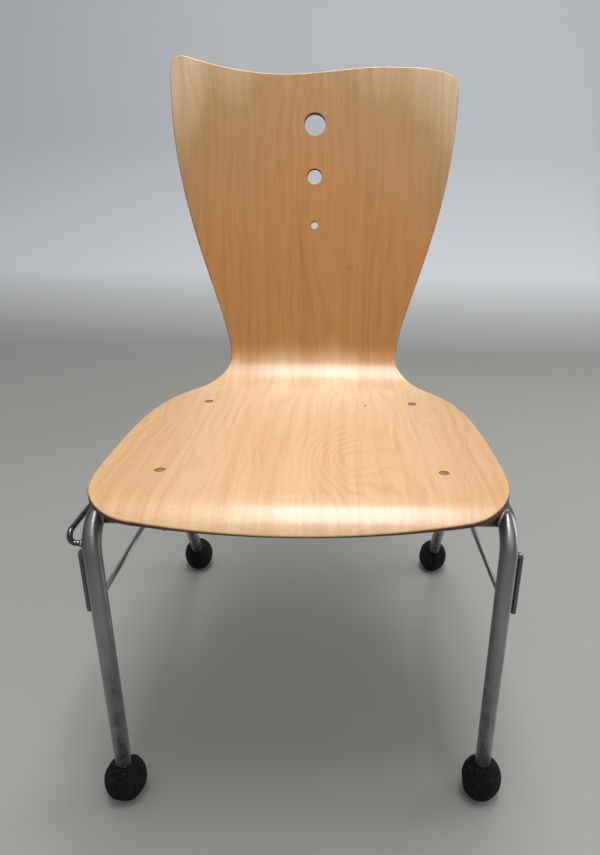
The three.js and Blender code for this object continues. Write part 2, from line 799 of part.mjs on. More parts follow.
for (const row of ['front', 'rear']) {
  const left = SCREW_STATIONS[`${row}_left`];
  const right = SCREW_STATIONS[`${row}_right`];
  addPart(`${row}_cross_tube`, crossTube(left, right), chromedSteel());
}

for (const [place, station] of Object.entries(SCREW_STATIONS)) {
  addPart(`${place}_shell_screw`, screw(station), bronzedSteel());
  addPart(`${place}_saddle`, saddle(station), blackNylon());
  addPart(`${place}_washer`, washer(station), zincSteel());
  addPart(`${place}_nut`, nut(station), zincSteel());
}

// The origin is on the floor, below the centre of the whole chair.
const extent = new THREE.Box3().setFromObject(chair);
const centre = extent.getCenter(new THREE.Vector3());
chair.position.set(-centre.x, -centre.y, -extent.min.z);

export default chair;
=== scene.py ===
"""Looks of a stacking chair: a bent beech plywood shell on a chromed tube frame with foam ball feet.

Metres, +Z up. The sitter faces -Y, and X = 0 is the frame's middle plane.
"""

import math

import bpy
import numpy as np
from mathutils import Matrix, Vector
from mathutils.geometry import delaunay_2d_cdt


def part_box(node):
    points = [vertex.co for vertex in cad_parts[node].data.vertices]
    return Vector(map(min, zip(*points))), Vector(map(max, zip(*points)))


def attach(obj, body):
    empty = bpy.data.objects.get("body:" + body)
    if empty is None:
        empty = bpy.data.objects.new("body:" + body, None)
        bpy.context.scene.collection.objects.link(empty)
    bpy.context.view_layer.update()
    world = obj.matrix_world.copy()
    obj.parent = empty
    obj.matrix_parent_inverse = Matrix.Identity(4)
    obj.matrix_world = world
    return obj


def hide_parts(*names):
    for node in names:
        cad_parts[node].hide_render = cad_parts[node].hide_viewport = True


bl_info = {
    "name": "Stacking chair",
    "version": (1, 0, 0),
    "blender": (4, 5, 0),
    "location": "3D View > Sidebar > Stacking chair",
    "description": "Builds a plywood stacking chair, its finishes and its studio",
    "category": "Object",
}

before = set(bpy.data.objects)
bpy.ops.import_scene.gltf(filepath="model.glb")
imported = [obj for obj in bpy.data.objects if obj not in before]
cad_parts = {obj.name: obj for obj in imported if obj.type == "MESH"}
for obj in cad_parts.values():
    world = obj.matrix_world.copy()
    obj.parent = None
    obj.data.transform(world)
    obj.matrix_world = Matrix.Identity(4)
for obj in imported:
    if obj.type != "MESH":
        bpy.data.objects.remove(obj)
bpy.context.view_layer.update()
HANDS = {"left": -1, "right": 1}
ACROSS = np.array([1.0, 0.0, 0.0])
UP = np.array([0.0, 0.0, 1.0])


def centre_of(node):
    low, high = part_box(node)
    return (np.array(low) + np.array(high)) / 2


# The front feet stand on this line, from which the profile and the frame are laid out.
FRONT_FEET_Y = centre_of("front_left_ball_foot")[1]


# ---------------------------------------------------------------------------
# Sizes and colours that a user would change
# ---------------------------------------------------------------------------


def number(name, default, description, **settings):
    """A number that a user may change. Its unit and limits are among the settings."""
    return bpy.props.FloatProperty(name=name, description=description, default=default, **settings)


def length(name, millimetres, description):
    return number(name, millimetres / 1000, description, unit="LENGTH", subtype="DISTANCE", precision=4)


def turn(name, degrees, description):
    return number(name, math.radians(degrees), description, unit="ROTATION", subtype="ANGLE")


def power(name, watts, description):
    return number(name, watts, description, unit="POWER")


def linear(code):
    """An sRGB colour written as six hex digits, turned to the linear values that shaders use."""
    shares = np.array([int(code[i : i + 2], 16) for i in (1, 3, 5)]) / 255
    low = shares / 12.92
    high = ((shares + 0.055) / 1.055) ** 2.4
    return tuple(np.where(shares <= 0.04045, low, high).tolist())


def colour(name, code, description):
    return bpy.props.FloatVectorProperty(
        name=name,
        description=description,
        default=linear(code),
        subtype="COLOR",
        size=3,
        min=0,
        max=1,
    )


class ShellSizes(bpy.types.PropertyGroup):
    """Bent plywood shell: its side profile, the outline of its flat blank, and its holes."""

    thickness: length("Thickness", 11, "Thickness of the plywood")
    arris: length("Arris", 2.0, "Rounding of the edges of the plywood")
    hole_arris: length("Hole arris", 0.5, "Rounding of the edges of the holes in the back")
    front_edge_y: length("Front edge Y", -64.3, "Front edge, from the line of the front feet")
    front_edge_z: length("Front edge height", 433.1, "Height of the front edge")
    lip_radius: length("Lip radius", 45, "Bend of the front lip")
    lip_angle: turn("Lip angle", 52.9, "Slope of the plywood at its front edge")
    seat_front_fall: turn("Seat front fall", 5.4, "Fall of the seat behind the lip")
    seat_rear_fall: turn("Seat rear fall", 1.5, "Fall of the seat before the bend")
    seat_length: length("Seat length", 318, "Length of the seat between the lip and the bend")
    bend_radius: length("Bend radius", 62.5, "Bend between seat and back")
    back_lower_angle: turn("Back lower angle", 80, "Slope of the back above the bend")
    back_upper_angle: turn("Back upper angle", 73.7, "Slope of the back near its top")
    back_length: length("Back length", 400, "Length over which the back leans further")
    front_half: length("Front edge half width", 150.8, "Half width of the front edge")
    front_bow: length("Front edge bow", 10.9, "How far the front edge bows forward")
    front_reach: length("Front corner reach", 48.9, "Softness of the front corners")
    seat_half: length("Seat half width", 209, "Half of the widest of the seat")
    seat_at: length("Seat widest at", 119.4, "Where the seat is widest, from the front edge")
    shoulder_half: length("Shoulder half width", 173.6, "Half width where the seat narrows")
    shoulder_at: length("Shoulder at", 341, "Where the seat narrows, from the front edge")
    shoulder_angle: turn("Shoulder angle", 33.5, "Slant of the outline there")
    waist_half: length("Waist half width", 119, "Half of the narrowest of the shell")
    waist_at: length("Waist at", 431.8, "Where the shell is narrowest")
    back_half: length("Back half width", 193, "Half of the widest of the back")
    back_at: length("Back widest at", 792, "Where the back is widest")
    ear_x: length("Ear X", -178, "Top of the ear, across")
    ear_at: length("Ear at", 831, "Top of the ear, along the blank")
    dip_x: length("Dip X", -47, "Dip in the top edge, across")
    dip_at: length("Dip at", 810.5, "Dip in the top edge, along the blank")
    hump_x: length("Hump X", 100, "Hump in the top edge, across")
    hump_at: length("Hump at", 823, "Hump in the top edge, along the blank")
    corner_x: length("Top corner X", 177, "Start of the rounded top corner, across")
    corner_at: length("Top corner at", 817.3, "Start of the rounded top corner, along the blank")
    corner_radius: length("Top corner radius", 17, "Rounding of that corner")
    hole_large: length("Large hole", 29, "Diameter of the top hole")
    hole_middle: length("Middle hole", 20, "Diameter of the middle hole")
    hole_small: length("Small hole", 10, "Diameter of the low hole")
    hole_large_at: length("Large hole at", 748, "Place of the top hole along the blank")
    hole_middle_at: length("Middle hole at", 681, "Place of the middle hole along the blank")
    hole_small_at: length("Small hole at", 617, "Place of the low hole along the blank")


class FrameSizes(bpy.types.PropertyGroup):
    """Bent tube side frames, cross tubes, welded rods and the fixings of the shell."""

    tube: length("Tube diameter", 19, "Outside diameter of the frame tube")
    wall: length("Tube wall", 2, "Wall of the frame tube")
    bend: length("Tube bend radius", 32, "Bend at the knees, at the middle of the tube")
    front_knee_x: length("Front knee X", 214, "Half distance between the front knees")
    front_knee_y: length("Front knee Y", -2, "Front knee, from the line of the front feet")
    rear_knee_x: length("Rear knee X", 220, "Half distance between the rear knees")
    rear_knee_y: length("Rear knee Y", 279, "Rear knee, from the line of the front feet")
    front_foot_x: length("Front foot X", 222.5, "Half distance between the front feet")
    rear_foot_x: length("Rear foot X", 222, "Half distance between the rear feet")
    foot_base: length("Foot base", 467, "Distance from the front feet to the rear feet")
    tube_end: length("Tube end height", 14, "Height of the tube ends inside the feet")
    rod: length("Rod diameter", 6, "Diameter of stretchers and linking rail")
    stretcher_front: length("Stretcher, front", 309.5, "Height where a stretcher meets the front leg")
    stretcher_rear: length("Stretcher, rear", 266, "Height where a stretcher meets the rear leg")
    pin: length("Pin diameter", 6.5, "Diameter of the linking pins")
    pin_top: length("Pin top", 365, "Height where a pin leaves the leg")
    pin_bottom: length("Pin bottom", 284, "Height of a pin's lower end")
    pin_slot: length("Pin slot", 7.8, "Space between a pin and its leg")
    pin_sweep: turn("Pin sweep", 35, "How far a pin is turned to the rear")
    pin_bend: length("Pin bend radius", 7, "Bend at the top of a pin")
    rail_front: length("Linking rail, front", 381.5, "Height where the linking rail leaves the front leg")
    rail_rear: length("Linking rail, rear", 369, "Height where the linking rail meets the rear leg")
    rail_reach: length("Linking rail reach", 20, "How far the rail stands out from the front leg")
    rail_rise: length("Linking rail rise", 13, "How far the rail climbs beside the front leg")
    rail_rear_reach: length("Linking rail rear reach", 14, "How far the rail stands out from the rear leg")
    rail_bend: length("Linking rail bend", 6, "Bends of the linking rail")
    bead: length("Weld bead", 1.5, "Radius of the weld beads of the rods")
    tube_bead: length("Tube weld bead", 2.1, "Radius of the weld beads of the cross tubes")
    front_screw_x: length("Front screw X", 145, "Half distance between the front screws")
    front_screw_at: length("Front screws at", 97, "Front screws, along the blank")
    rear_screw_x: length("Rear screw X", 134, "Half distance between the rear screws")
    rear_screw_at: length("Rear screws at", 309, "Rear screws, along the blank")
    screw: length("Screw diameter", 5, "Diameter of the screws")
    head: length("Screw head", 10.4, "Diameter of the screw heads")
    head_sink: length("Head sink", 0.45, "How far the heads lie below the seat")
    screw_tip: length("Screw tip", 2, "How far the screws stand out of their nuts")
    saddle: length("Saddle height", 30, "Height of the saddle blocks from seat to cross tube")
    saddle_width: length("Saddle diameter", 26, "Diameter of the saddle blocks")
    saddle_wrap: length("Saddle wrap", 5, "How far the saddle blocks reach down beside the tube")
    washer: length("Washer thickness", 1.6, "Thickness of the curved washers")
    washer_width: length("Washer diameter", 15, "Diameter of the curved washers")
    washer_wrap: length("Washer wrap", 2.5, "How far the washers reach up beside the tube")
    nut: length("Nut height", 4.5, "Height of the nuts")
    nut_flats: length("Nut across flats", 8, "Width of the nuts across their flats")
    gap: length("Gap", 0.3, "Clearance between pieces that touch")


class FootSizes(bpy.types.PropertyGroup):
    """Foam balls pushed over the tube ends."""

    half_height: length("Half height", 31, "Half of the height of a ball")
    centre_z: length("Centre height", 29.5, "Height of the middle of a ball")
    lip: length("Bore lip", 1.2, "Rounding of the foam where the tube goes in")
    pit_depth: length("Pit depth", 0.7, "Depth of the larger pits in the foam skin")
    dent_depth: length("Dent depth", 1.2, "Depth of the broad hollows of the foam")
    pit_width: length("Pit width", 2.2, "Radius of the larger pits")
    fill: number("Fill", 1.0, "How tight the foam is, from slack to full", min=0, max=1, subtype="FACTOR")


class ChairColours(bpy.types.PropertyGroup):
    """Colours of the finishes."""

    beech_seat: colour("Beech, seat", "#caa780", "Lacquered beech of the seat")
    beech_side: colour("Beech, seat sides", "#bc9669", "Lacquered beech at the sides of the seat")
    # Painted light: a pool of light and sheen on the rear of the seat.
    beech_rear: colour("Beech, seat rear", "#ceb18e", "Lacquered beech at the rear of the seat")
    # Painted shade: the seat's beech darkened where the back faces away from the light overhead.
    beech_back: colour("Beech, back", "#b28149", "Lacquered beech low on the back")
    # Painted shade of the back, greyed by a painted sheen from above.
    beech_upper: colour("Beech, upper back", "#a58052", "Lacquered beech high on the back")
    # Painted sheen on the top corners of the back.
    beech_top: colour("Beech, top", "#c2a888", "Lacquered beech at the top corners of the back")
    grain: colour("Grain tint", "#cfac8c", "Tint that the darker lines of the grain add to the beech")
    ply_light: colour("Ply, long grain", "#7a4a2c", "Layers cut along the grain")
    ply_dark: colour("Ply, end grain", "#3f2013", "Layers cut across the grain")
    knot: colour("Knots", "#4a2a14", "Cores of the knots in the beech")
    steel: colour("Chromed steel", "#9fa2a3", "Dull chrome of the tubes")
    bright_steel: colour("Bright chrome", "#6c6f71", "Bright chrome of the pins and the linking rail")
    # Real worn specks low on the legs, and painted shade on the upper frame under the seat.
    specks_and_shade: colour("Tarnish", "#3a3836", "Worn specks and the film on the upper frame")
    screw: colour("Bronzed screws", "#a0735c", "Bronzed heads of the screws")
    zinc: colour("Zinc plate", "#b3b6b6", "Washers and nuts")
    foam: colour("Black foam", "#111112", "Ball feet")
    nylon: colour("Black nylon", "#242426", "Saddles and plugs")
    floor: colour("Floor", "#8a8b87", "Plain pale studio floor")
    wall: colour("Wall", "#c9ccd0", "Wall that the floor turns up into")


class StudioSizes(bpy.types.PropertyGroup):
    """Camera, floor and lights."""

    lens: number("Lens", 27.446, "Focal length of the camera", subtype="DISTANCE_CAMERA")
    shift: number("Shift", -0.0596, "Sideways shift of the picture, as a share of its size")
    pitch: turn("Pitch", 24.956, "How far the camera looks down")
    yaw: turn("Yaw", 1.552, "How far the camera looks to the right")
    roll: turn("Roll", 1.418, "How far the camera leans")
    camera_x: length("Camera X", 32.35, "Camera, across")
    camera_y: length("Camera Y", -557.77, "Camera, from the line of the front feet")
    camera_z: length("Camera height", 774.13, "Camera, above the floor")
    panel_width: length("Panel width", 800, "Width of the light panel overhead")
    panel_length: length("Panel length", 1500, "Length of the light panel, front to back")
    panel_x: length("Panel X", 100, "Middle of the panel, across")
    panel_y: length("Panel Y", 20, "Middle of the panel, front to back")
    panel_z: length("Panel height", 2500, "Height of the panel")
    panel_power: power("Panel power", 50.0, "Power of the panel")
    fill_power: power("Fill power", 10.0, "Power of the large soft fill")
    window_power: power("Window power", 20.0, "Power of the window at the side")
    ceiling: number("Ceiling light", 1.0, "Light from straight above, which is the brightest")
    horizon: number("Horizon light", 0.25, "Light from the horizon, which is the darkest")


# ---------------------------------------------------------------------------
# Meshes from arrays
# ---------------------------------------------------------------------------

# How far the radius of a weld bead rises and falls, as a share of it.
WELD_RIPPLE = 0.1


def grid_quads(rows, columns, wrap_rows=False):
    """Four-sided faces of a grid of points whose columns close into rings."""
    steps = rows if wrap_rows else rows - 1
    i, j = np.divmod(np.arange(steps * columns), columns)
    below, beside = (i + 1) % rows, (j + 1) % columns
    corners = [i * columns + j, below * columns + j, below * columns + beside, i * columns + beside]
    return np.stack(corners, 1)


def enclosed_volume(points, faces):
    """Sum of a . (b x c) / 6 over the faces, cut into triangles a b c. Negative where they face inwards."""
    total = 0.0
    for quads in faces:
        for k in range(1, quads.shape[1] - 1):
            a, b, c = points[quads[:, 0]], points[quads[:, k]], points[quads[:, k + 1]]
            total += np.einsum("ij,ij->", a, np.cross(b, c)) / 6
    return total


def mesh_object(name, points, faces, material):
    """One object from an array of points and arrays of faces, turned outwards, riding on the body."""
    if enclosed_volume(points - points.mean(0), faces) < 0:
        faces = [part[:, ::-1] for part in faces]
    mesh = bpy.data.meshes.new(name)
    corners = np.concatenate([part.ravel() for part in faces]).astype(np.int32)
    counts = np.concatenate([np.full(len(part), part.shape[1]) for part in faces])
    mesh.vertices.add(len(points))
    mesh.vertices.foreach_set("co", points.astype(np.float32).ravel())
    mesh.loops.add(len(corners))
    mesh.loops.foreach_set("vertex_index", corners)
    mesh.polygons.add(len(counts))
    mesh.polygons.foreach_set("loop_start", (np.cumsum(counts) - counts).astype(np.int32))
    mesh.polygons.foreach_set("use_smooth", np.ones(len(counts), bool))
    mesh.update(calc_edges=True)
    if mesh.validate():
        raise RuntimeError(f"{name} has faces that do not hold together")
    mesh.materials.append(material)
    piece = bpy.data.objects.new(name, mesh)
    bpy.context.scene.collection.objects.link(piece)
    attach(piece, "root")
    return piece


def ring_surface(rings, loop=False):
    """Points and faces of a stack of rings, looped back to the first or closed at both ends by a fan."""
    rows, columns, _ = rings.shape
    points = rings.reshape(-1, 3)
    quads = grid_quads(rows, columns, wrap_rows=loop)
    if loop:
        return points, [quads]
    near = np.arange(columns)
    far = (rows - 1) * columns + near
    first, last = len(points), len(points) + 1
    points = np.concatenate([points, [rings[0].mean(0), rings[-1].mean(0)]])
    near_fan = np.stack([np.full(columns, first), near, np.roll(near, -1)], 1)
    far_fan = np.stack([np.full(columns, last), np.roll(far, -1), far], 1)
    return points, [quads, np.concatenate([near_fan, far_fan])]


def joined(*surfaces):
    """Several closed surfaces as one list of points and faces."""
    points, faces, start = [], [], 0
    for part_points, part_faces in surfaces:
        points.append(part_points)
        faces += [part + start for part in part_faces]
        start += len(part_points)
    return np.concatenate(points), faces


def unit(vectors):
    vectors = np.asarray(vectors, float)
    return vectors / np.linalg.norm(vectors, axis=-1, keepdims=True)


def bent_path(corners, radius, step=math.radians(4)):
    """Points and headings of a line whose corners are rounded.

    Each corner is an arc, p = centre - radius (inward cos a - heading sin a).
    """
    corners = np.asarray(corners, float)
    points, headings = [corners[:1]], [unit(corners[1:2] - corners[:1])]
    for before, corner, after in zip(corners, corners[1:], corners[2:]):
        incoming, outgoing = unit(corner - before), unit(after - corner)
        angle = math.acos(np.clip(incoming @ outgoing, -1, 1))
        inward = unit(outgoing - incoming * math.cos(angle))
        centre = corner - incoming * radius * math.tan(angle / 2) + inward * radius
        a = np.linspace(0, angle, max(3, round(angle / step)) + 1)[:, None]
        points.append(centre - radius * (inward * np.cos(a) - incoming * np.sin(a)))
        headings.append(incoming * np.cos(a) + inward * np.sin(a))
    points.append(corners[-1:])
    headings.append(unit(corners[-1:] - corners[-2:-1]))
    return np.concatenate(points), np.concatenate(headings)


def swept_rings(points, headings, radius, reference, sides):
    """Rings round a path: p + radius (cos f n + sin f m).

    n and m are square to the heading and to each other, and n is as near to the reference as that allows.
    """
    n = unit(reference - headings * (headings @ reference)[:, None])[:, None]
    m = np.cross(headings[:, None], n)
    f = np.linspace(0, 2 * np.pi, sides, endpoint=False)[None, :, None]
    return points[:, None] + np.reshape(radius, (-1, 1, 1)) * (np.cos(f) * n + np.sin(f) * m)


def fitted_end(ring, heading, axis_point, axis, radius):
    """A ring moved along its heading until it lies on a round tube, by the nearer root of a quadratic."""
    across = ring - axis_point
    across = across - (across @ axis)[:, None] * axis
    along = heading - (heading @ axis) * axis
    a, b = along @ along, across @ along
    c = np.einsum("ij,ij->i", across, across) - radius**2
    root = np.sqrt(np.maximum(b * b - a * c, 0))
    return ring + ((-b - root) / a)[:, None] * heading


def weld_bead(path, radius, sides=10):
    """A ring of weld metal along a closed path, its radius rippled by a sine every four points."""
    heading = unit(np.roll(path, -1, 0) - np.roll(path, 1, 0))
    outward = unit(path - path.mean(0))
    n = unit(outward - np.einsum("ij,ij->i", outward, heading)[:, None] * heading)[:, None]
    m = np.cross(heading[:, None], n)
    rippled = radius * (1 + WELD_RIPPLE * np.sin(np.arange(len(path)) * 2 * np.pi / 4))[:, None, None]
    f = np.linspace(0, 2 * np.pi, sides, endpoint=False)[None, :, None]
    return ring_surface(path[:, None] + rippled * (np.cos(f) * n + np.sin(f) * m), loop=True)


def turned_rings(profile, origin, axis, sides=48):
    """Rings of a turned piece: origin + height axis + radius (cos f n + sin f m) for each pair of them."""
    profile = np.asarray(profile, float)
    points = origin + profile[:, 1:2] * axis
    headings = np.repeat(unit(axis)[None], len(profile), 0)
    return swept_rings(points, headings, profile[:, 0], ACROSS, sides)


# ---------------------------------------------------------------------------
# Plywood shell
# ---------------------------------------------------------------------------

# Handles of the curves that make the side of the blank. The first is a share of the front corner's reach, and
# the others are shares of the climb between two named places.
FRONT_LIFT = 0.1
SEAT_ARRIVE, SEAT_LEAVE = 0.596, 0.554
SHOULDER_ARRIVE, SHOULDER_LEAVE = 0.225, 0.338
WAIST_ARRIVE, WAIST_LEAVE = 0.3, 0.186
BACK_ARRIVE = 0.477
# Slope of the top edge at its ends, and the handles of the ear, in metres.
TOP_END_SLOPE = -0.28
EAR_RISE, EAR_REACH = 0.026, 0.012
# Handles of the rounded top corner, as shares of its radius.
CORNER_DROP, CORNER_REACH, CORNER_RISE = 0.45, 0.55, 0.15
# A screw hole in the ply, in metres: its rounded rim, the depths at which its cone starts and ends, and the
# rounded rim underneath.
RIM_ROUND, CONE_START, CONE_END, UNDER_ROUND = 0.0004, 0.0010, 0.0040, 0.0003


def shell_profile(sizes, along):
    """Height, depth and slope of the middle layer.

    Each of four arcs adds chord cos(a + t/2) to y and chord sin(a + t/2) to z, where a is the slope
    before it, t what it turns through, and chord = run sin(t/2) / (t/2).
    """
    lip = sizes.lip_angle + sizes.seat_front_fall
    bend = sizes.back_lower_angle + sizes.seat_rear_fall
    arcs = [
        (sizes.lip_radius * lip, -lip),
        (sizes.seat_length, sizes.seat_front_fall - sizes.seat_rear_fall),
        (sizes.bend_radius * bend, bend),
        (sizes.back_length, sizes.back_upper_angle - sizes.back_lower_angle),
    ]
    left = np.asarray(along, float).copy()
    y = np.full(left.shape, FRONT_FEET_Y + sizes.front_edge_y)
    z = np.full(left.shape, sizes.front_edge_z)
    slope = np.full(left.shape, sizes.lip_angle)
    for index, (extent, swing) in enumerate(arcs):
        run = left if index == 3 else np.minimum(left, extent)
        swept = swing * run / extent
        chord = run * np.sinc(swept / (2 * np.pi))
        y = y + chord * np.cos(slope + swept / 2)
        z = z + chord * np.sin(slope + swept / 2)
        slope = slope + swept
        left = left - run
    return y, z, slope


def on_shell(sizes, blank, offset):
    """Points of the bent board: x across, then along the profile, then off its middle layer."""
    y, z, slope = shell_profile(sizes, blank[..., 1])
    return np.stack([blank[..., 0], y - offset * np.sin(slope), z + offset * np.cos(slope)], -1)


def shell_normals(sizes, blank, across, off):
    """Directions made of an in-plane part, given in the blank, and a part square to the board."""
    slope = shell_profile(sizes, blank[..., 1])[2]
    y = across[..., 1] * np.cos(slope) - off * np.sin(slope)
    z = across[..., 1] * np.sin(slope) + off * np.cos(slope)
    return np.stack([across[..., 0], y, z], -1)


def bezier(start, leave, arrive, end, count=60):
    """Cubic from start to end, with handles start + leave and end - arrive."""
    t = np.linspace(0, 1, count)[:, None]
    a, d = np.array(start), np.array(end)
    b, c = a + leave, d - arrive
    return (1 - t) ** 3 * a + 3 * (1 - t) ** 2 * t * b + 3 * (1 - t) * t**2 * c + t**3 * d


def blank_side(sizes):
    """The +X edge of the flat blank, as four cubics from the front corner to the widest of the back."""
    slant = np.array([-math.sin(sizes.shoulder_angle), math.cos(sizes.shoulder_angle)])
    front = (sizes.front_half, sizes.front_bow)
    seat = (sizes.seat_half, sizes.seat_at)
    shoulder = (sizes.shoulder_half, sizes.shoulder_at)
    waist = (sizes.waist_half, sizes.waist_at)
    back = (sizes.back_half, sizes.back_at)
    places = (front, seat, shoulder, waist, back)
    climb = [after[1] - before[1] for before, after in zip(places, places[1:])]
    leave = (sizes.front_reach, sizes.front_reach * FRONT_LIFT)
    to_seat = bezier(front, leave, (0, climb[0] * SEAT_ARRIVE), seat)
    leave, arrive = (0, climb[1] * SEAT_LEAVE), slant * climb[1] * SHOULDER_ARRIVE
    to_shoulder = bezier(seat, leave, arrive, shoulder)
    leave, arrive = slant * climb[2] * SHOULDER_LEAVE, (0, climb[2] * WAIST_ARRIVE)
    to_waist = bezier(shoulder, leave, arrive, waist)
    leave, arrive = (0, climb[3] * WAIST_LEAVE), (0, climb[3] * BACK_ARRIVE)
    to_back = bezier(waist, leave, arrive, back, 160)
    return np.concatenate([to_seat, to_shoulder[1:], to_waist[1:], to_back[1:]])


def top_edge(sizes):
    """The wavy top edge from the ear to the far corner, a Hermite cubic between each two of four knots."""
    knots = [
        (sizes.ear_x, sizes.ear_at, TOP_END_SLOPE),
        (sizes.dip_x, sizes.dip_at, 0.0),
        (sizes.hump_x, sizes.hump_at, 0.0),
        (sizes.corner_x, sizes.corner_at, TOP_END_SLOPE),
    ]
    runs = []
    for (x0, s0, m0), (x1, s1, m1) in zip(knots, knots[1:]):
        third = (x1 - x0) / 3
        runs.append(bezier((x0, s0), (third, third * m0), (third, third * m1), (x1, s1)))
    return np.concatenate([runs[0], runs[1][1:], runs[2][1:]])


def blank_outline(sizes, spacing=0.0025):
    """The closed outline of the blank, anticlockwise, at even steps, eased by averages of neighbours.

    The front edge is the parabola front_bow x^2, and the top corner and the ear are one cubic each.
    """
    x = np.linspace(-1, 1, 120)
    front = np.stack([x * sizes.front_half, sizes.front_bow * x * x], 1)
    side = blank_side(sizes)
    radius = sizes.corner_radius
    climb = sizes.corner_at - sizes.back_at - radius * CORNER_DROP
    arrive = (-radius * CORNER_REACH, radius * CORNER_RISE)
    back, corner = (sizes.back_half, sizes.back_at), (sizes.corner_x, sizes.corner_at)
    corner_arc = bezier(back, (0, climb), arrive, corner)
    far_back, ear = (-sizes.back_half, sizes.back_at), (sizes.ear_x, sizes.ear_at)
    ear_arc = bezier(far_back, (0, EAR_RISE), (EAR_REACH, 0), ear)[::-1]
    top = top_edge(sizes)[::-1]
    mirrored = side[::-1] * (-1, 1)
    loop = np.concatenate([front, side[1:], corner_arc[1:], top[1:], ear_arc[1:], mirrored[1:-1]])
    closed = np.concatenate([loop, loop[:1]])
    walked = np.concatenate([[0], np.cumsum(np.linalg.norm(np.diff(closed, axis=0), axis=1))])
    even = np.linspace(0, walked[-1], round(walked[-1] / spacing), endpoint=False)
    loop = np.stack([np.interp(even, walked, closed[:, k]) for k in (0, 1)], 1)
    for _ in range(5):
        loop = (np.roll(loop, 1, 0) + 2 * loop + np.roll(loop, -1, 0)) / 4
    return loop


def edge_profile(thickness, arris, steps=6):
    """How far out, and how far off the middle layer, a rounded edge goes: quarter turns at both faces."""
    a = np.linspace(0, np.pi / 2, steps)
    out = arris * (np.sin(a) - 1)
    off = thickness / 2 - arris * (1 - np.cos(a))
    return np.concatenate([out, out[::-1]]), np.concatenate([off, -off[::-1]])


def screw_profile(sizes, frame_sizes):
    """The same for a countersunk screw hole, measured out from its rim towards the middle."""
    head = frame_sizes.head / 2 + frame_sizes.gap
    shank = frame_sizes.screw / 2 + frame_sizes.gap
    half = sizes.thickness / 2
    eased = RIM_ROUND / 4
    radius = [head + RIM_ROUND, head + eased, head, head, shank, shank, shank + UNDER_ROUND]
    depth = [0, eased, RIM_ROUND, CONE_START, CONE_END]
    off = [*(half - step for step in depth), UNDER_ROUND - half, -half]
    return head - np.array(radius), np.array(off)


def screw_places(frame_sizes):
    """The places of the front and the rear screws: across, on one side, and along the blank."""
    return {
        "front": (frame_sizes.front_screw_x, frame_sizes.front_screw_at),
        "rear": (frame_sizes.rear_screw_x, frame_sizes.rear_screw_at),
    }


def circle(centre, radius, count):
    """A round hole's loop, clockwise, and the directions that point into the hole."""
    a = -np.linspace(0, 2 * np.pi, count, endpoint=False)
    spokes = np.stack([np.cos(a), np.sin(a)], 1)
    return np.array(centre) + radius * spokes, -spokes


def outline_normals(loop):
    """Directions out of an anticlockwise loop: its heading turned a quarter to the right."""
    heading = unit(np.roll(loop, -1, 0) - np.roll(loop, 1, 0))
    return np.stack([heading[:, 1], -heading[:, 0]], 1)


def inside(loop, points):
    """Even-odd test of points against a closed loop."""
    a, b = loop, np.roll(loop, -1, 0)
    px, py = points[:, :1], points[:, 1:]
    crosses = (a[:, 1] > py) != (b[:, 1] > py)
    rise = np.where(b[:, 1] == a[:, 1], 1, b[:, 1] - a[:, 1])
    at = a[:, 0] + (py - a[:, 1]) / rise * (b[:, 0] - a[:, 0])
    return (crosses & (px < at)).sum(1) % 2 == 1


def face_lattice(loops, column=0.009, row=0.003, margin=0.002):
    """Even rows and columns of points in the outline, clear of it and of every hole by a margin."""
    low, high = loops[0].min(0), loops[0].max(0)
    x, s = np.meshgrid(np.arange(low[0], high[0], column), np.arange(low[1], high[1], row))
    points = np.stack([x.ravel(), s.ravel()], 1)
    points = points[inside(loops[0], points)]
    for hole in loops[1:]:
        points = points[~inside(hole, points)]
    rim = np.concatenate(loops)
    near = [np.min(np.linalg.norm(part[:, None] - rim, axis=2), 1) for part in np.array_split(points, 40)]
    return points[np.concatenate(near) > margin]


def fill_face(loops, lattice):
    """Triangles between the outline, the holes and the lattice."""
    points = np.concatenate([*loops, lattice])
    starts = np.cumsum([0, *[len(loop) for loop in loops]])
    steps = [start + np.arange(len(loop)) for start, loop in zip(starts, loops)]
    edges = np.concatenate([np.stack([step, np.roll(step, -1)], 1) for step in steps])
    found = delaunay_2d_cdt(points.tolist(), edges.tolist(), [], 0, 1e-9)
    if len(found[0]) != len(points):
        raise RuntimeError("the outline of the blank meets itself or a hole")
    triangles = np.array(found[2])
    # Only a triangle between three points of the loops can lie outside the outline or in a hole.
    on_loops = (triangles < starts[-1]).all(1)
    middles = points[triangles[on_loops]].mean(1)
    kept = inside(loops[0], middles)
    for hole in loops[1:]:
        kept &= ~inside(hole, middles)
    return np.concatenate([triangles[~on_loops], triangles[on_loops][kept]])


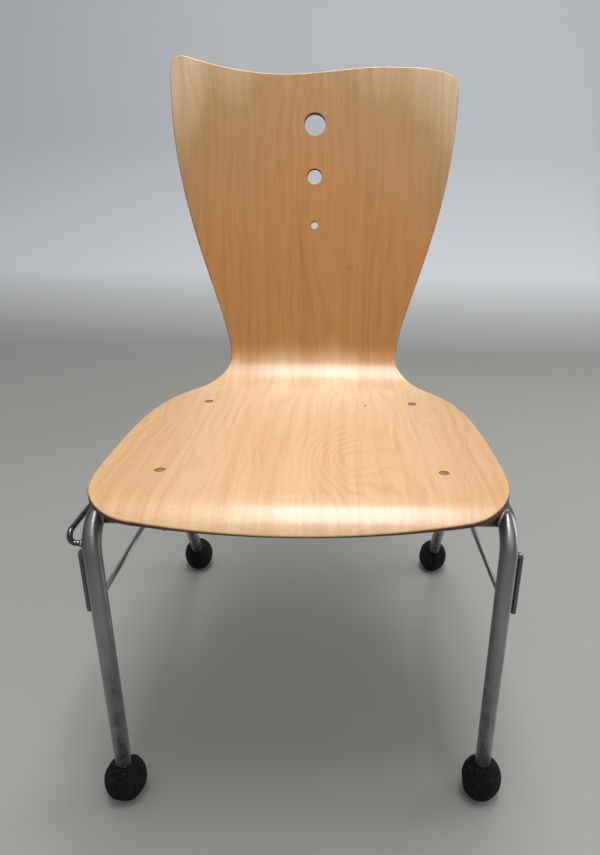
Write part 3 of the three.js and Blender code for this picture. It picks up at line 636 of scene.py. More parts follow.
def shell_arrays(sizes, frame_sizes):
    """All points of the shell in the blank, their offsets and normals, and the faces between them.

    An edge profile is carried round the outline and round each hole, p = loop + out normal, and the two
    faces are filled between the first and between the last of those rings.
    """
    outline = blank_outline(sizes)
    rims = [(outline, outline_normals(outline), *edge_profile(sizes.thickness, sizes.arris))]
    for at, bore in (
        (sizes.hole_large_at, sizes.hole_large),
        (sizes.hole_middle_at, sizes.hole_middle),
        (sizes.hole_small_at, sizes.hole_small),
    ):
        rims.append((*circle((0, at), bore / 2, 48), *edge_profile(sizes.thickness, sizes.hole_arris)))
    for x, at in screw_places(frame_sizes).values():
        for side in (-1, 1):
            rim = circle((side * x, at), frame_sizes.head / 2 + frame_sizes.gap, 36)
            rims.append((*rim, *screw_profile(sizes, frame_sizes)))
    blank, offset, across, off, quads, tops, bottoms, start = [], [], [], [], [], [], [], 0
    for loop, normals, out, height in rims:
        rows, columns = len(out), len(loop)
        blank.append((loop + out[:, None, None] * normals).reshape(-1, 2))
        offset.append(np.repeat(height, columns))
        step = unit(np.stack([np.gradient(out), np.gradient(height)], 1))
        step[0], step[-1] = (1, 0), (-1, 0)
        across.append((-step[:, 1, None, None] * normals).reshape(-1, 2))
        off.append(np.repeat(step[:, 0], columns))
        quads.append(grid_quads(rows, columns) + start)
        tops.append(start + np.arange(columns))
        bottoms.append(start + (rows - 1) * columns + np.arange(columns))
        start += rows * columns
    triangles = []
    rim_points = np.concatenate(blank)
    for rings, side in ((tops, 1), (bottoms, -1)):
        loops = [rim_points[ring] for ring in rings]
        lattice = face_lattice(loops)
        index = np.concatenate([*rings, start + np.arange(len(lattice))])
        triangles.append(index[fill_face(loops, lattice)][:, ::side])
        blank.append(lattice)
        offset.append(np.full(len(lattice), side * sizes.thickness / 2))
        across.append(np.zeros_like(lattice))
        off.append(np.full(len(lattice), float(side)))
        start += len(lattice)
    arrays = [np.concatenate(part) for part in (blank, offset, across, off)]
    return (*arrays, [np.concatenate(quads), np.concatenate(triangles)])


def plywood_shell(sizes, frame_sizes, material):
    """The shell as one mesh with its blank as UV map, and its depth and edge as attributes."""
    blank, offset, across, off, faces = shell_arrays(sizes, frame_sizes)
    shell = mesh_object("seat_and_back", on_shell(sizes, blank, offset), faces, material)
    mesh = shell.data
    corner = np.empty(len(mesh.loops), np.int32)
    mesh.loops.foreach_get("vertex_index", corner)
    mesh.uv_layers.new(name="blank").data.foreach_set("uv", blank[corner].astype(np.float32).ravel())
    for name, values in (("ply_depth", offset), ("edge", np.linalg.norm(across, axis=1))):
        mesh.attributes.new(name, "FLOAT", "POINT").data.foreach_set("value", values.astype(np.float32))
    mesh.normals_split_custom_set_from_vertices(unit(shell_normals(sizes, blank, across, off)).tolist())
    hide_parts("seat_and_back_shell")
    return shell


# ---------------------------------------------------------------------------
# Tube frame
# ---------------------------------------------------------------------------

TUBE_SIDES = 56
# The rounded end of a pin: how far round it turns, in radians, and its length as a share of its radius.
NOSE_TURN, NOSE_LENGTH = 1.4, 0.5


class Fixing:
    """Where a screw crosses the shell, its saddle, the cross tube, the washer and the nut."""

    def __init__(self, shell, sizes, x, at):
        here = np.array([x, at])
        self.down = -shell_normals(shell, here, np.zeros(2), 1.0)
        self.top = on_shell(shell, here, shell.thickness / 2)
        self.under = on_shell(shell, here, -shell.thickness / 2)
        self.axis_depth = 2 * sizes.gap + sizes.saddle + sizes.tube / 2
        self.tube_depth = self.axis_depth + sizes.tube / 2
        self.nut_depth = self.tube_depth + 2 * sizes.gap + sizes.washer
        self.screw_depth = self.nut_depth + sizes.nut + sizes.screw_tip
        self.tube_centre = self.under + self.axis_depth * self.down


def fixings(shell, sizes):
    """The four screw places by name."""
    return {
        f"{row}_{hand}": Fixing(shell, sizes, side * x, at)
        for row, (x, at) in screw_places(sizes).items()
        for hand, side in HANDS.items()
    }


def frame_corners(shell, sizes, feet, side):
    """Front foot, front knee, rear knee and rear foot of one side frame.

    The knees lie on the line through the middles of the cross tubes, as seen from the side.
    """
    places = fixings(shell, sizes)
    front, rear = places["front_left"].tube_centre, places["rear_left"].tube_centre
    knees = []
    for x, y in ((sizes.front_knee_x, sizes.front_knee_y), (sizes.rear_knee_x, sizes.rear_knee_y)):
        y = FRONT_FEET_Y + y
        share = (y - front[1]) / (rear[1] - front[1])
        knees.append([side * x, y, front[2] + share * (rear[2] - front[2])])
    first = [side * sizes.front_foot_x, FRONT_FEET_Y, feet.centre_z]
    last = [side * sizes.rear_foot_x, FRONT_FEET_Y + sizes.foot_base, feet.centre_z]
    return np.array([first, *knees, last])


def leg_point(foot, knee, height):
    """The point of a leg's middle line at a height above the floor."""
    return foot + (knee - foot) * (height - foot[2]) / (knee[2] - foot[2])


def side_frame_surface(corners, sizes):
    """Outer rings down the bent line and inner rings back up it, closed into one tube wall."""
    foot, knee, far_knee, far_foot = corners
    ends = [leg_point(foot, knee, sizes.tube_end), leg_point(far_foot, far_knee, sizes.tube_end)]
    path, headings = bent_path([ends[0], knee, far_knee, ends[1]], sizes.bend)
    outer = swept_rings(path, headings, sizes.tube / 2, ACROSS, TUBE_SIDES)
    inner = swept_rings(path, headings, sizes.tube / 2 - sizes.wall, ACROSS, TUBE_SIDES)
    return ring_surface(np.concatenate([outer, inner[::-1]]), loop=True)


def cross_tube_surface(place, corners, sizes):
    """A tube from rail to rail whose ends are notched to the rails' round, and the welds round its ends."""
    middle = place.tube_centre[None] * (0, 1, 1)
    ends = []
    for radius in (sizes.tube / 2, sizes.tube / 2 - sizes.wall):
        ring = swept_rings(middle, ACROSS[None], radius, UP, TUBE_SIDES)[0]
        for side in (-1, 1):
            mirror = np.array([side * np.sign(corners[1][0]), 1, 1])
            rail = unit(corners[2] - corners[1]) * mirror
            ends.append(fitted_end(ring, side * ACROSS, corners[1] * mirror, rail, sizes.tube / 2))
    near, far, inner_near, inner_far = ends
    share = np.linspace(0, 1, 24)[:, None, None]
    outer = near + share * (far - near)
    inner = inner_far + share * (inner_near - inner_far)
    welds = [weld_bead(end, sizes.tube_bead) for end in (near, far)]
    return ring_surface(np.concatenate([outer, inner]), loop=True), welds


def welded_rod(path, headings, reference, radius, sizes, first_leg, last_leg=None, sides=32):
    """A round rod fitted at its ends to the legs that it is welded to, with the weld beads.

    A free end is rounded: its last ring shrinks by cos a as it moves by radius length (sin a - 1).
    """
    rings = swept_rings(path, headings, radius, unit(reference), sides)
    foot, knee = first_leg
    rings[0] = fitted_end(rings[0], -headings[0], foot, unit(knee - foot), sizes.tube / 2)
    welds = [weld_bead(rings[0], sizes.bead)]
    if last_leg is not None:
        foot, knee = last_leg
        rings[-1] = fitted_end(rings[-1], headings[-1], foot, unit(knee - foot), sizes.tube / 2)
        welds.append(weld_bead(rings[-1], sizes.bead))
    else:
        middle = rings[-1].mean(0)
        a = np.linspace(0, NOSE_TURN, 6)[:, None, None]
        forward = headings[-1] * radius * NOSE_LENGTH * (np.sin(a) - 1)
        rings = np.concatenate([rings[:-1], middle + (rings[-1] - middle) * np.cos(a) + forward])
    return ring_surface(rings), welds


def stretcher_surface(corners, sizes):
    """A straight rod between the two legs of one side."""
    foot, knee, far_knee, far_foot = corners
    near = leg_point(foot, knee, sizes.stretcher_front)
    path = np.array([near, leg_point(far_foot, far_knee, sizes.stretcher_rear)])
    headings = np.repeat(unit(path[1:] - path[:1]), 2, 0)
    return welded_rod(path, headings, UP, sizes.rod / 2, sizes, (foot, knee), (far_foot, far_knee))


def linking_pin_surface(corners, sizes):
    """A rod out from the front leg, turned down to hang beside it with a free rounded end."""
    foot, knee = corners[:2]
    side = np.sign(knee[0])
    reach = sizes.tube / 2 + sizes.pin_slot + sizes.pin / 2
    outward = np.array([side * math.cos(sizes.pin_sweep), math.sin(sizes.pin_sweep), 0])
    start = leg_point(foot, knee, sizes.pin_top)
    end = leg_point(foot, knee, sizes.pin_bottom)
    path, headings = bent_path([start, start + outward * reach, end + outward * reach], sizes.pin_bend)
    across = np.cross(outward, UP)
    return welded_rod(path, headings, across, sizes.pin / 2, sizes, (foot, knee))


def linking_rail_surface(corners, sizes):
    """A rod out from the front leg, up, back beside the seat and in to the rear leg."""
    foot, knee, far_knee, far_foot = corners
    side = np.sign(knee[0])
    start = leg_point(foot, knee, sizes.rail_front)
    end = leg_point(far_foot, far_knee, sizes.rail_rear)
    outside = start + (side * sizes.rail_reach, 0, 0)
    behind = end + (side * sizes.rail_rear_reach, 0, 0)
    path, headings = bent_path([start, outside, outside + sizes.rail_rise * UP, behind, end], sizes.rail_bend)
    across = np.array([side, 1.0, 1.0])
    return welded_rod(path, headings, across, sizes.rod / 2, sizes, (foot, knee), (far_foot, far_knee))


# ---------------------------------------------------------------------------
# Fixings and feet
# ---------------------------------------------------------------------------

# A screw, in metres: the rise of its head's crown, the depths at which the head's rim and its cone end, and
# the chamfer of its point.
HEAD_CROWN, HEAD_RIM, HEAD_CONE, SCREW_POINT = 0.0003, 0.0008, 0.0027, 0.0008
# The eased edge of saddles and washers, in metres.
EASED_EDGE = 0.0004
# The chamfer of a nut's corners: its height in metres, and its reach as a share of the width across flats.
NUT_CHAMFER, NUT_CHAMFER_REACH = 0.0006, 0.525
# Radius of a ball, to turn the width of a pit into an angle, and how far the bore goes on below the tube end.
BALL_RADIUS, BORE_BELOW_TUBE = 0.025, 0.0036
# Pits and dents fade out towards the edge of the flat patch on the floor and towards the lip of the bore.
PATCH_EDGE, PATCH_FADE, LIP_FADE = 0.93, 0.1, 0.12


def screw_surface(place, sizes):
    """A countersunk head, slightly crowned and sunk below the seat, and a shank that ends under the nut."""
    head, shank = sizes.head / 2, sizes.screw / 2
    end = place.screw_depth + (place.under - place.top) @ place.down
    sink = sizes.head_sink
    crown = [(head * share, sink + HEAD_CROWN * share**2) for share in np.linspace(0.05, 1, 12)]
    cone = [(head, sink + HEAD_RIM), (shank, sink + HEAD_CONE)]
    point = [(shank, end - SCREW_POINT), (shank - SCREW_POINT, end)]
    return ring_surface(turned_rings([*crown, *cone, *point], place.top, place.down))


def bored_piece(place, rows, sides):
    """A looped stack of rings round a screw: under + radius (cos f x + sin f y) + depth down.

    x runs along the cross tube and y across it. Each row is a radius and a depth below the shell, and either
    can be one number or one for every spoke.
    """
    f = np.linspace(0, 2 * np.pi, sides, endpoint=False)
    spokes = np.cos(f)[:, None] * ACROSS + np.sin(f)[:, None] * np.cross(place.down, ACROSS)
    rows = [(np.reshape(radius, (-1, 1)), np.reshape(depth, (-1, 1))) for radius, depth in rows]
    rings = [place.under + radius * spokes + depth * place.down for radius, depth in rows]
    return ring_surface(np.array(rings), loop=True)


def saddled_surface(place, sizes, radius, top, bottom, above, sides=48):
    """A round piece bored for the screw, one face flat, the other hollowed to the cross tube.

    At a distance t across the tube that face lies at depth axis -+ sqrt(R^2 - t^2), cut off at the piece's
    own bottom or top. A piece above the tube has it below, and one under the tube has it on top.
    """
    f = np.linspace(0, 2 * np.pi, sides, endpoint=False)
    bore = sizes.screw / 2 + sizes.gap
    hollow = sizes.tube / 2 + sizes.gap
    rows = []
    for r in np.linspace(bore, radius, 9):
        round_off = np.sqrt(np.maximum(hollow**2 - (r * np.sin(f)) ** 2, 0))
        if above:
            rows.append((r, np.minimum(place.axis_depth - round_off, bottom)))
        else:
            rows.append((r, np.maximum(place.axis_depth + round_off, top)))
    flat, eased = (top, top + EASED_EDGE) if above else (bottom, bottom - EASED_EDGE)
    rows += [(radius, eased), (radius - EASED_EDGE, flat), (bore, flat)]
    return bored_piece(place, rows, sides)


def nut_surface(place, sizes, sides=72):
    """A bored hexagon: radius h / cos(f mod 60 - 30), drawn in at both faces by a chamfer on the corners."""
    f = np.linspace(0, 2 * np.pi, sides, endpoint=False)
    hexagon = sizes.nut_flats / 2 / np.cos(np.mod(f, np.pi / 3) - np.pi / 6)
    top, bottom = place.nut_depth, place.nut_depth + sizes.nut
    bore = sizes.screw / 2 + sizes.gap
    chamfered = np.minimum(hexagon, sizes.nut_flats * NUT_CHAMFER_REACH)
    upper = [(bore, top), (chamfered, top), (hexagon, top + NUT_CHAMFER)]
    lower = [(hexagon, bottom - NUT_CHAMFER), (chamfered, bottom), (bore, bottom)]
    return bored_piece(place, [*upper, *lower], sides)


def ball_reach(directions, radius, sizes):
    """Distance from the middle of a ball to its skin: an upright ellipsoid, cut flat at the floor."""
    across = directions[..., 0] ** 2 + directions[..., 1] ** 2
    round_skin = 1 / np.sqrt(across / radius**2 + directions[..., 2] ** 2 / sizes.half_height**2)
    floor = sizes.centre_z / np.maximum(-directions[..., 2], 1e-6)
    return np.minimum(round_skin, floor)


def pits(directions, sizes, seed, count=420, batches=14):
    """Depth of the open pores: the deepest of many round dimples d (1 - (angle / width)^2)^2."""
    rng = np.random.default_rng(seed)
    spots = unit(rng.normal(size=(count, 3)))
    width = sizes.pit_width / BALL_RADIUS * rng.uniform(0.35, 1.0, count) ** 2
    # The narrowest pits, less than a twelfth of a radian wide, are shallower as well.
    depth = sizes.pit_depth * rng.uniform(0.4, 1.0, count) * np.minimum(1, width * 12)
    flat = directions.reshape(-1, 3)
    deepest = np.zeros(len(flat))
    for chosen in np.array_split(np.arange(count), batches):
        apart = np.linalg.norm(flat[:, None] - spots[chosen], axis=2)
        dimple = depth[chosen] * np.maximum(1 - (apart / width[chosen]) ** 2, 0) ** 2
        deepest = np.maximum(deepest, dimple.max(1))
    return deepest.reshape(directions.shape[:-1])


def dents(directions, sizes, seed, count=16, widths=(0.35, 0.6)):
    """Depth of the broad hollows of the worn foam: the sum of wide dimples d (1 - (angle / width)^2)^2."""
    rng = np.random.default_rng(seed + 100)
    spots = unit(rng.normal(size=(count, 3)))
    width = rng.uniform(*widths, count)
    apart = np.linalg.norm(directions[..., None, :] - spots, axis=-1)
    return (sizes.dent_depth * np.maximum(1 - (apart / width) ** 2, 0) ** 2).sum(-1)


def ball_foot_surface(foot, knee, radius, frame_sizes, sizes, seed, sides=168, rows=120):
    """A foam ball bored along its leg.

    Directions turn from the leg's axis, d = axis cos p + spoke sin p, and the skin lies at reach(d) along
    them less the pits and dents. Inside the lip the bore goes straight down to below the tube end.
    """
    axis = unit(knee - foot)
    bore = frame_sizes.tube / 2 + frame_sizes.gap
    spokes = swept_rings(np.zeros((1, 3)), axis[None], 1.0, ACROSS, sides)[0]
    edge = bore + sizes.lip
    # The angle at which the skin meets the lip, from a first guess, each round closer.
    start = np.full(sides, 0.4)
    for _ in range(12):
        toward = axis * np.cos(start)[:, None] + spokes * np.sin(start)[:, None]
        start = np.arcsin(np.clip(edge / ball_reach(toward, radius, sizes), 0, 0.95))
    p = start + np.linspace(0, 1, rows)[:-1, None] * (np.pi - start)
    d = axis * np.cos(p)[..., None] + spokes * np.sin(p)[..., None]
    reach = ball_reach(d, radius, sizes)
    fade = np.clip((d[..., 2] + PATCH_EDGE) / PATCH_FADE, 0, 1) * np.clip((p - start) / LIP_FADE, 0, 1)
    skin = foot + d * (reach - (pits(d, sizes, seed) + dents(d, sizes, seed)) * fade)[..., None]
    rim = np.einsum("ij,j->i", skin[0] - foot, axis)
    lip = []
    for a in np.linspace(0, np.pi / 2, 5)[1:]:
        height = rim - sizes.lip * (1 - math.cos(a))
        lip.append(foot + axis * height[:, None] + spokes * (edge - sizes.lip * math.sin(a)))
    bottom = (frame_sizes.tube_end - foot[2]) / axis[2] - BORE_BELOW_TUBE
    floor_of_bore = foot + axis * bottom + spokes * bore
    share = np.linspace(0, 1, 6)[1:, None, None]
    wall = lip[-1] + share * (floor_of_bore - lip[-1])
    inner = foot + axis * bottom + spokes * bore * 0.5
    rings = np.concatenate([inner[None], wall[::-1], np.array(lip)[::-1], skin])
    return ring_surface(rings)


# ---------------------------------------------------------------------------
# Finishes
# ---------------------------------------------------------------------------

# The veneer, in millimetres on the blank: its half width and length.
VENEER_HALF_WIDTH, VENEER_LENGTH = 178.0, 840
# Its zones of colour, each at a share of the way up the blank. The share is 0.9 at the top of the back, and
# more towards its outer edges, where the painted sheen lies. The rear zone is a painted pool of light and
# sheen on the rear of the seat. The back and upper zones are painted shade on the back, and the upper one is
# greyed by a painted sheen. The top zone is a painted sheen on the top corners.
VENEER_ZONES = (
    (0.22, "seat"),
    (0.33, "rear"),
    (0.39, "rear"),
    (0.49, "back"),
    (0.72, "back"),
    (0.87, "upper"),
    (1.0, "top"),
)
# Its knots: middle, reach of the bow in the grain, how far that pushes the grain, reach of the core, and how
# dark the core is.
KNOTS = (
    ((49, 560), (9, 20), 4.0, (4, 6), 0.28),
    ((72, 301), (3, 8), 1.5, (1.2, 3.2), 1.0),
    ((-96, 664), (5, 12), 2.5, (1.4, 3), 0.2),
)
# Its growth rings: how far apart they are, how much the noise moves them in rings, and the middle, reach and
# height in rings of the hill on the seat.
RING_SPACING, RING_SWELL = 15.0, 5.0
RING_HILL, RING_HILL_REACH, RING_HILL_HEIGHT = (44, 128), (40, 62), 5.0
PLY_LAYERS = 9
# Roughness of the two chromes.
DULL_BLUR, BRIGHT_BLUR = 0.28, 0.08


def add_node(tree, kind, inputs=None, **settings):
    """Adds a node with its settings. Each input is a value or another node's output."""
    made = tree.nodes.new(kind)
    for name, value in settings.items():
        setattr(made, name, value)
    for name, value in (inputs or {}).items():
        if isinstance(value, bpy.types.NodeSocket):
            tree.links.new(value, made.inputs[name])
        else:
            made.inputs[name].default_value = value
    return made


def maths(tree, operation, *values):
    """One step of arithmetic on numbers."""
    return add_node(tree, "ShaderNodeMath", dict(enumerate(values)), operation=operation).outputs[0]


def vector_maths(tree, operation, *values):
    """One step of arithmetic on vectors."""
    return add_node(tree, "ShaderNodeVectorMath", dict(enumerate(values)), operation=operation).outputs[0]


def remapped(tree, value, start, end, to_start=0.0, to_end=1.0):
    """A value carried from one range to another and held within it."""
    inputs = {"Value": value, "From Min": start, "From Max": end, "To Min": to_start, "To Max": to_end}
    return add_node(tree, "ShaderNodeMapRange", inputs).outputs[0]


def blended(tree, share, first, second):
    """Two colours mixed by a share of the second."""
    inputs = {"Factor": share, 6: first, 7: second}
    return add_node(tree, "ShaderNodeMix", inputs, data_type="RGBA").outputs[2]


def toned(tree, value, *stops):
    """The colours of a ramp at a value. Each stop is a position and a linear colour."""
    ramp = add_node(tree, "ShaderNodeValToRGB", {"Fac": value})
    elements = ramp.color_ramp.elements
    elements.remove(elements[-1])
    elements[0].position, elements[0].color = stops[0][0], (*stops[0][1], 1)
    for position, tint in stops[1:]:
        elements.new(position).color = (*tint, 1)
    return ramp.outputs["Color"]


def times(factor, tint):
    """A colour made darker or lighter."""
    return tuple(factor * share for share in tint)


def own_place(tree):
    """Place on the object, in metres."""
    return add_node(tree, "ShaderNodeTexCoord").outputs["Object"]


def noise(tree, place, scale, detail):
    """Even noise with features about 1 / scale metres across."""
    inputs = {"Vector": place, "Scale": scale, "Detail": detail}
    return add_node(tree, "ShaderNodeTexNoise", inputs).outputs[0]


def roughened(tree, shader, height, strength, depth):
    """Tilts the surface by a height of so many metres."""
    relief = add_node(tree, "ShaderNodeBump", {"Height": height, "Strength": strength, "Distance": depth})
    tree.links.new(relief.outputs["Normal"], shader.inputs["Normal"])


def new_finish(name):
    """An empty material and its node tree, with a Principled shader wired to the output."""
    material = bpy.data.materials.new(name)
    material.use_nodes = True
    tree = material.node_tree
    tree.nodes.clear()
    shader = add_node(tree, "ShaderNodeBsdfPrincipled")
    add_node(tree, "ShaderNodeOutputMaterial", {"Surface": shader.outputs["BSDF"]})
    return material, tree, shader


def streaks(tree, flat, width, reach, detail, seed):
    """Noise drawn out along the blank: streaks so far apart and so long, in millimetres."""
    scaled = vector_maths(tree, "MULTIPLY_ADD", flat, (1 / width, 1 / reach, 0), (seed, seed, 0))
    inputs = {"Vector": scaled, "Scale": 1.0, "Detail": detail, "Roughness": 0.6}
    return add_node(tree, "ShaderNodeTexNoise", inputs, noise_dimensions="2D").outputs[0]


def nearness(tree, flat, centre, reach):
    """1 at a centre on the blank, falling off as exp(-(x / a)^2 - (y / b)^2)."""
    apart = vector_maths(tree, "SUBTRACT", flat, (*centre, 0))
    spread = vector_maths(tree, "MULTIPLY", apart, (1 / reach[0], 1 / reach[1], 0))
    squared = add_node(tree, "ShaderNodeVectorMath", {0: spread, 1: spread}, operation="DOT_PRODUCT")
    return maths(tree, "POWER", math.exp(-1), squared.outputs["Value"])


def bowed_grain(tree, flat):
    """Place on the blank with the grain's course straightened: a slow wander, and a bow round each knot."""
    shift = remapped(tree, streaks(tree, flat, 85, 290, 2.0, 0.0), 0.0, 1.0, -7.0, 7.0)
    for centre, reach, bow, _, _ in KNOTS:
        apart = vector_maths(tree, "SUBTRACT", flat, (*centre, 0))
        across = add_node(tree, "ShaderNodeSeparateXYZ", {0: apart}).outputs["X"]
        side = maths(tree, "TANH", maths(tree, "DIVIDE", across, 1.5))
        pushed = maths(tree, "MULTIPLY", side, nearness(tree, flat, centre, reach))
        shift = maths(tree, "MULTIPLY_ADD", pushed, -bow, shift)
    return vector_maths(tree, "ADD", flat, add_node(tree, "ShaderNodeCombineXYZ", {"X": shift}).outputs[0])


def growth_rings(tree, grained):
    """Dark lines where the knife met the growth rings: contours of a gentle slope with one hill on the seat.

    Height = x / 15 mm + 5 noise + 5 hill, and a line lies wherever (1 + sin 2 pi height) / 2 nears 1.
    """
    across = add_node(tree, "ShaderNodeSeparateXYZ", {0: grained}).outputs["X"]
    swell = streaks(tree, grained, 75, 260, 2.0, 5.2)
    height = maths(tree, "MULTIPLY_ADD", swell, RING_SWELL, maths(tree, "DIVIDE", across, RING_SPACING))
    hill = nearness(tree, grained, RING_HILL, RING_HILL_REACH)
    height = maths(tree, "MULTIPLY_ADD", hill, RING_HILL_HEIGHT, height)
    wave = maths(tree, "SINE", maths(tree, "MULTIPLY", height, 2 * math.pi))
    return maths(tree, "POWER", remapped(tree, wave, -1.0, 1.0), 2.5)


def veneer_colour(tree, tints, flat, grained):
    """The face veneer: peach on the seat and orange on the back, lined by the grain.

    The back's darker orange is painted shade: the same beech, darkened where it faces away from the light
    overhead. The paler rear of the seat is a painted pool of light and sheen, and the paler top and outer
    edges of the back are a painted sheen. The sides of the seat are browner.
    """
    place = add_node(tree, "ShaderNodeSeparateXYZ", {0: flat})
    across, along = place.outputs["X"], place.outputs["Y"]
    outward = maths(tree, "POWER", maths(tree, "DIVIDE", across, VENEER_HALF_WIDTH), 2.0)
    # The seat lies below 380 mm along the blank; only the back gets the painted sheen at its outer edges.
    painted_edge_sheen = maths(tree, "MULTIPLY", outward, remapped(tree, along, 380, 480, 0.0, 0.12))
    share = maths(tree, "MULTIPLY_ADD", along, 0.9 / VENEER_LENGTH, painted_edge_sheen)
    bands = streaks(tree, grained, 42, 900, 1.0, 41.9)
    share = maths(tree, "ADD", share, remapped(tree, bands, 0.0, 1.0, -0.05, 0.05))
    stops = [(at, tuple(getattr(tints, f"beech_{zone}"))) for at, zone in VENEER_ZONES]
    ground = toned(tree, share, *stops)
    browning = remapped(tree, along, 330, 400, 1.0, 0.0)
    ground = blended(tree, maths(tree, "MULTIPLY", outward, browning), ground, (*tints.beech_side, 1))
    # Shares of the darker grain tint: fine lines, broad streaks, growth rings, and flecks of 0.6 by 3 mm.
    fine = remapped(tree, streaks(tree, grained, 1.5, 110, 3.0, 3.1), 0.42, 0.72, 0.0, 0.17)
    broad = remapped(tree, streaks(tree, grained, 10, 420, 2.0, 17.3), 0.40, 0.70, 0.0, 0.18)
    faint = remapped(tree, streaks(tree, grained, 60, 150, 1.0, 29.0), 0.35, 0.65, 0.05, 0.18)
    rings = maths(tree, "MULTIPLY", growth_rings(tree, grained), faint)
    flecks = remapped(tree, streaks(tree, grained, 0.6, 3.0, 0.0, 8.7), 0.56, 0.78, 0.0, 0.28)
    lines = maths(tree, "ADD", maths(tree, "ADD", fine, broad), maths(tree, "ADD", rings, flecks))
    darker = vector_maths(tree, "MULTIPLY", ground, tuple(tints.grain))
    wood = blended(tree, lines, ground, darker)
    for centre, _, _, reach, dark in KNOTS:
        core = maths(tree, "MULTIPLY", nearness(tree, flat, centre, reach), dark)
        wood = blended(tree, core, wood, (*tints.knot, 1))
    return wood


def cut_ply_colour(tree, tints, thickness, grained):
    """The cut edge: nine layers, in turn along and across the grain, mottled by the saw."""
    depth = add_node(tree, "ShaderNodeAttribute", attribute_name="ply_depth").outputs["Fac"]
    layer = maths(tree, "FRACT", maths(tree, "MULTIPLY_ADD", depth, PLY_LAYERS / (2 * thickness), 0.25))
    light, dark = tuple(tints.ply_light), tuple(tints.ply_dark)
    layers = toned(tree, layer, (0.0, light), (0.46, light), (0.54, dark), (0.96, dark))
    mottle = remapped(tree, streaks(tree, grained, 1.3, 6.0, 3.0, 11.0), 0.3, 0.7, 0.8, 1.1)
    scaled = add_node(tree, "ShaderNodeVectorMath", {0: layers, "Scale": mottle}, operation="SCALE")
    return scaled.outputs[0]


def lacquered_beech_plywood(tints, sizes):
    """Rotary-cut beech veneer pressed into plywood, under a coat of satin lacquer, with dark cut edges."""
    material, tree, shader = new_finish("lacquered_beech_plywood")
    blank = add_node(tree, "ShaderNodeUVMap", uv_map="blank").outputs["UV"]
    # Millimetres across and along the blank.
    flat = vector_maths(tree, "MULTIPLY", blank, (1000, 1000, 0))
    grained = bowed_grain(tree, flat)
    wood = veneer_colour(tree, tints, flat, grained)
    edge = add_node(tree, "ShaderNodeAttribute", attribute_name="edge").outputs["Fac"]
    edge = remapped(tree, edge, 0.55, 0.85)
    final = blended(tree, edge, wood, cut_ply_colour(tree, tints, sizes.thickness, grained))
    tree.links.new(final, shader.inputs["Base Color"])
    pores = streaks(tree, grained, 1.5, 60, 3.0, 3.1)
    # The cut edge is left rougher than the faces and takes no build of lacquer.
    satin = remapped(tree, pores, 0.3, 0.7, 0.36, 0.46)
    tree.links.new(maths(tree, "MULTIPLY_ADD", edge, 0.35, satin), shader.inputs["Roughness"])
    tree.links.new(remapped(tree, edge, 0.0, 1.0, 0.4, 0.0), shader.inputs["Coat Weight"])
    shader.inputs["Coat Roughness"].default_value = 0.22
    roughened(tree, shader, pores, 0.15, 0.00012)
    return material


def chromed_steel(name, tint, specks_and_shade, blur):
    """Drawn steel under hazy chrome: blurred reflections, a faint cloud, worn specks low on the legs, and
    painted shade up towards the knees.
    """
    material, tree, shader = new_finish(name)
    place = own_place(tree)
    haze = noise(tree, place, 55.0, 5.0)
    # Worn specks of 1 to 2 mm, on the lowest 120 mm only.
    height = add_node(tree, "ShaderNodeSeparateXYZ", {0: place}).outputs["Z"]
    low = remapped(tree, height, 0.09, 0.14, 0.0, 0.3)
    worn = remapped(tree, maths(tree, "SUBTRACT", noise(tree, place, 330.0, 0.0), low), 0.67, 0.69, 0.0, 0.9)
    cloudy = toned(tree, haze, (0.3, times(0.88, tint)), (0.7, tint))
    dark = (*specks_and_shade, 1)
    # Painted shade darkens the tubes from 280 mm up to the knees, which lie in the shade of the seat.
    painted_knee_shade = blended(tree, remapped(tree, height, 0.28, 0.44, 0.0, 0.45), cloudy, dark)
    tree.links.new(blended(tree, worn, painted_knee_shade, dark), shader.inputs["Base Color"])
    shader.inputs["Metallic"].default_value = 1.0
    # The chrome is dullest at the knees, where stacked chairs rub on each other.
    rubbed = remapped(tree, height, 0.15, 0.40, 1.0, 1.4)
    blurred = maths(tree, "MULTIPLY", remapped(tree, haze, 0.3, 0.7, 0.8 * blur, 1.2 * blur), rubbed)
    tree.links.new(maths(tree, "MULTIPLY_ADD", worn, 0.3, blurred), shader.inputs["Roughness"])
    # Polishing marks go round the upright tubes, so reflections are drawn out up and down.
    shader.inputs["Anisotropic"].default_value = 0.85
    upright = add_node(tree, "ShaderNodeCombineXYZ", {"X": 0.01, "Y": 0.02, "Z": 1.0})
    tree.links.new(upright.outputs[0], shader.inputs["Tangent"])
    # Drawing lines a millimetre apart, run out along the upright tubes.
    drawn = noise(tree, vector_maths(tree, "MULTIPLY", place, (900, 900, 14)), 1.0, 2.0)
    roughened(tree, shader, drawn, 0.1, 0.00005)
    return material


def bronzed_steel(tints):
    """Steel screw heads with a brown bronzed skin, rubbed a little paler on top."""
    material, tree, shader = new_finish("bronzed_steel")
    rubbed = noise(tree, own_place(tree), 420.0, 3.0)
    brown = tuple(tints.screw)
    tree.links.new(toned(tree, rubbed, (0.3, times(0.72, brown)), (0.7, brown)), shader.inputs["Base Color"])
    shader.inputs["Metallic"].default_value = 0.4
    tree.links.new(remapped(tree, rubbed, 0.0, 1.0, 0.38, 0.6), shader.inputs["Roughness"])
    return material


def zinc_plated_steel(tints):
    """Bright zinc on washers and nuts: pale grey with a fine crystalline cloud."""
    material, tree, shader = new_finish("zinc_plated_steel")
    inputs = {"Vector": own_place(tree), "Scale": 900.0}
    grains = add_node(tree, "ShaderNodeTexVoronoi", inputs).outputs["Distance"]
    zinc = tuple(tints.zinc)
    tree.links.new(toned(tree, grains, (0.0, zinc), (0.8, times(0.78, zinc))), shader.inputs["Base Color"])
    shader.inputs["Metallic"].default_value = 1.0
    tree.links.new(remapped(tree, grains, 0.0, 1.0, 0.3, 0.46), shader.inputs["Roughness"])
    return material


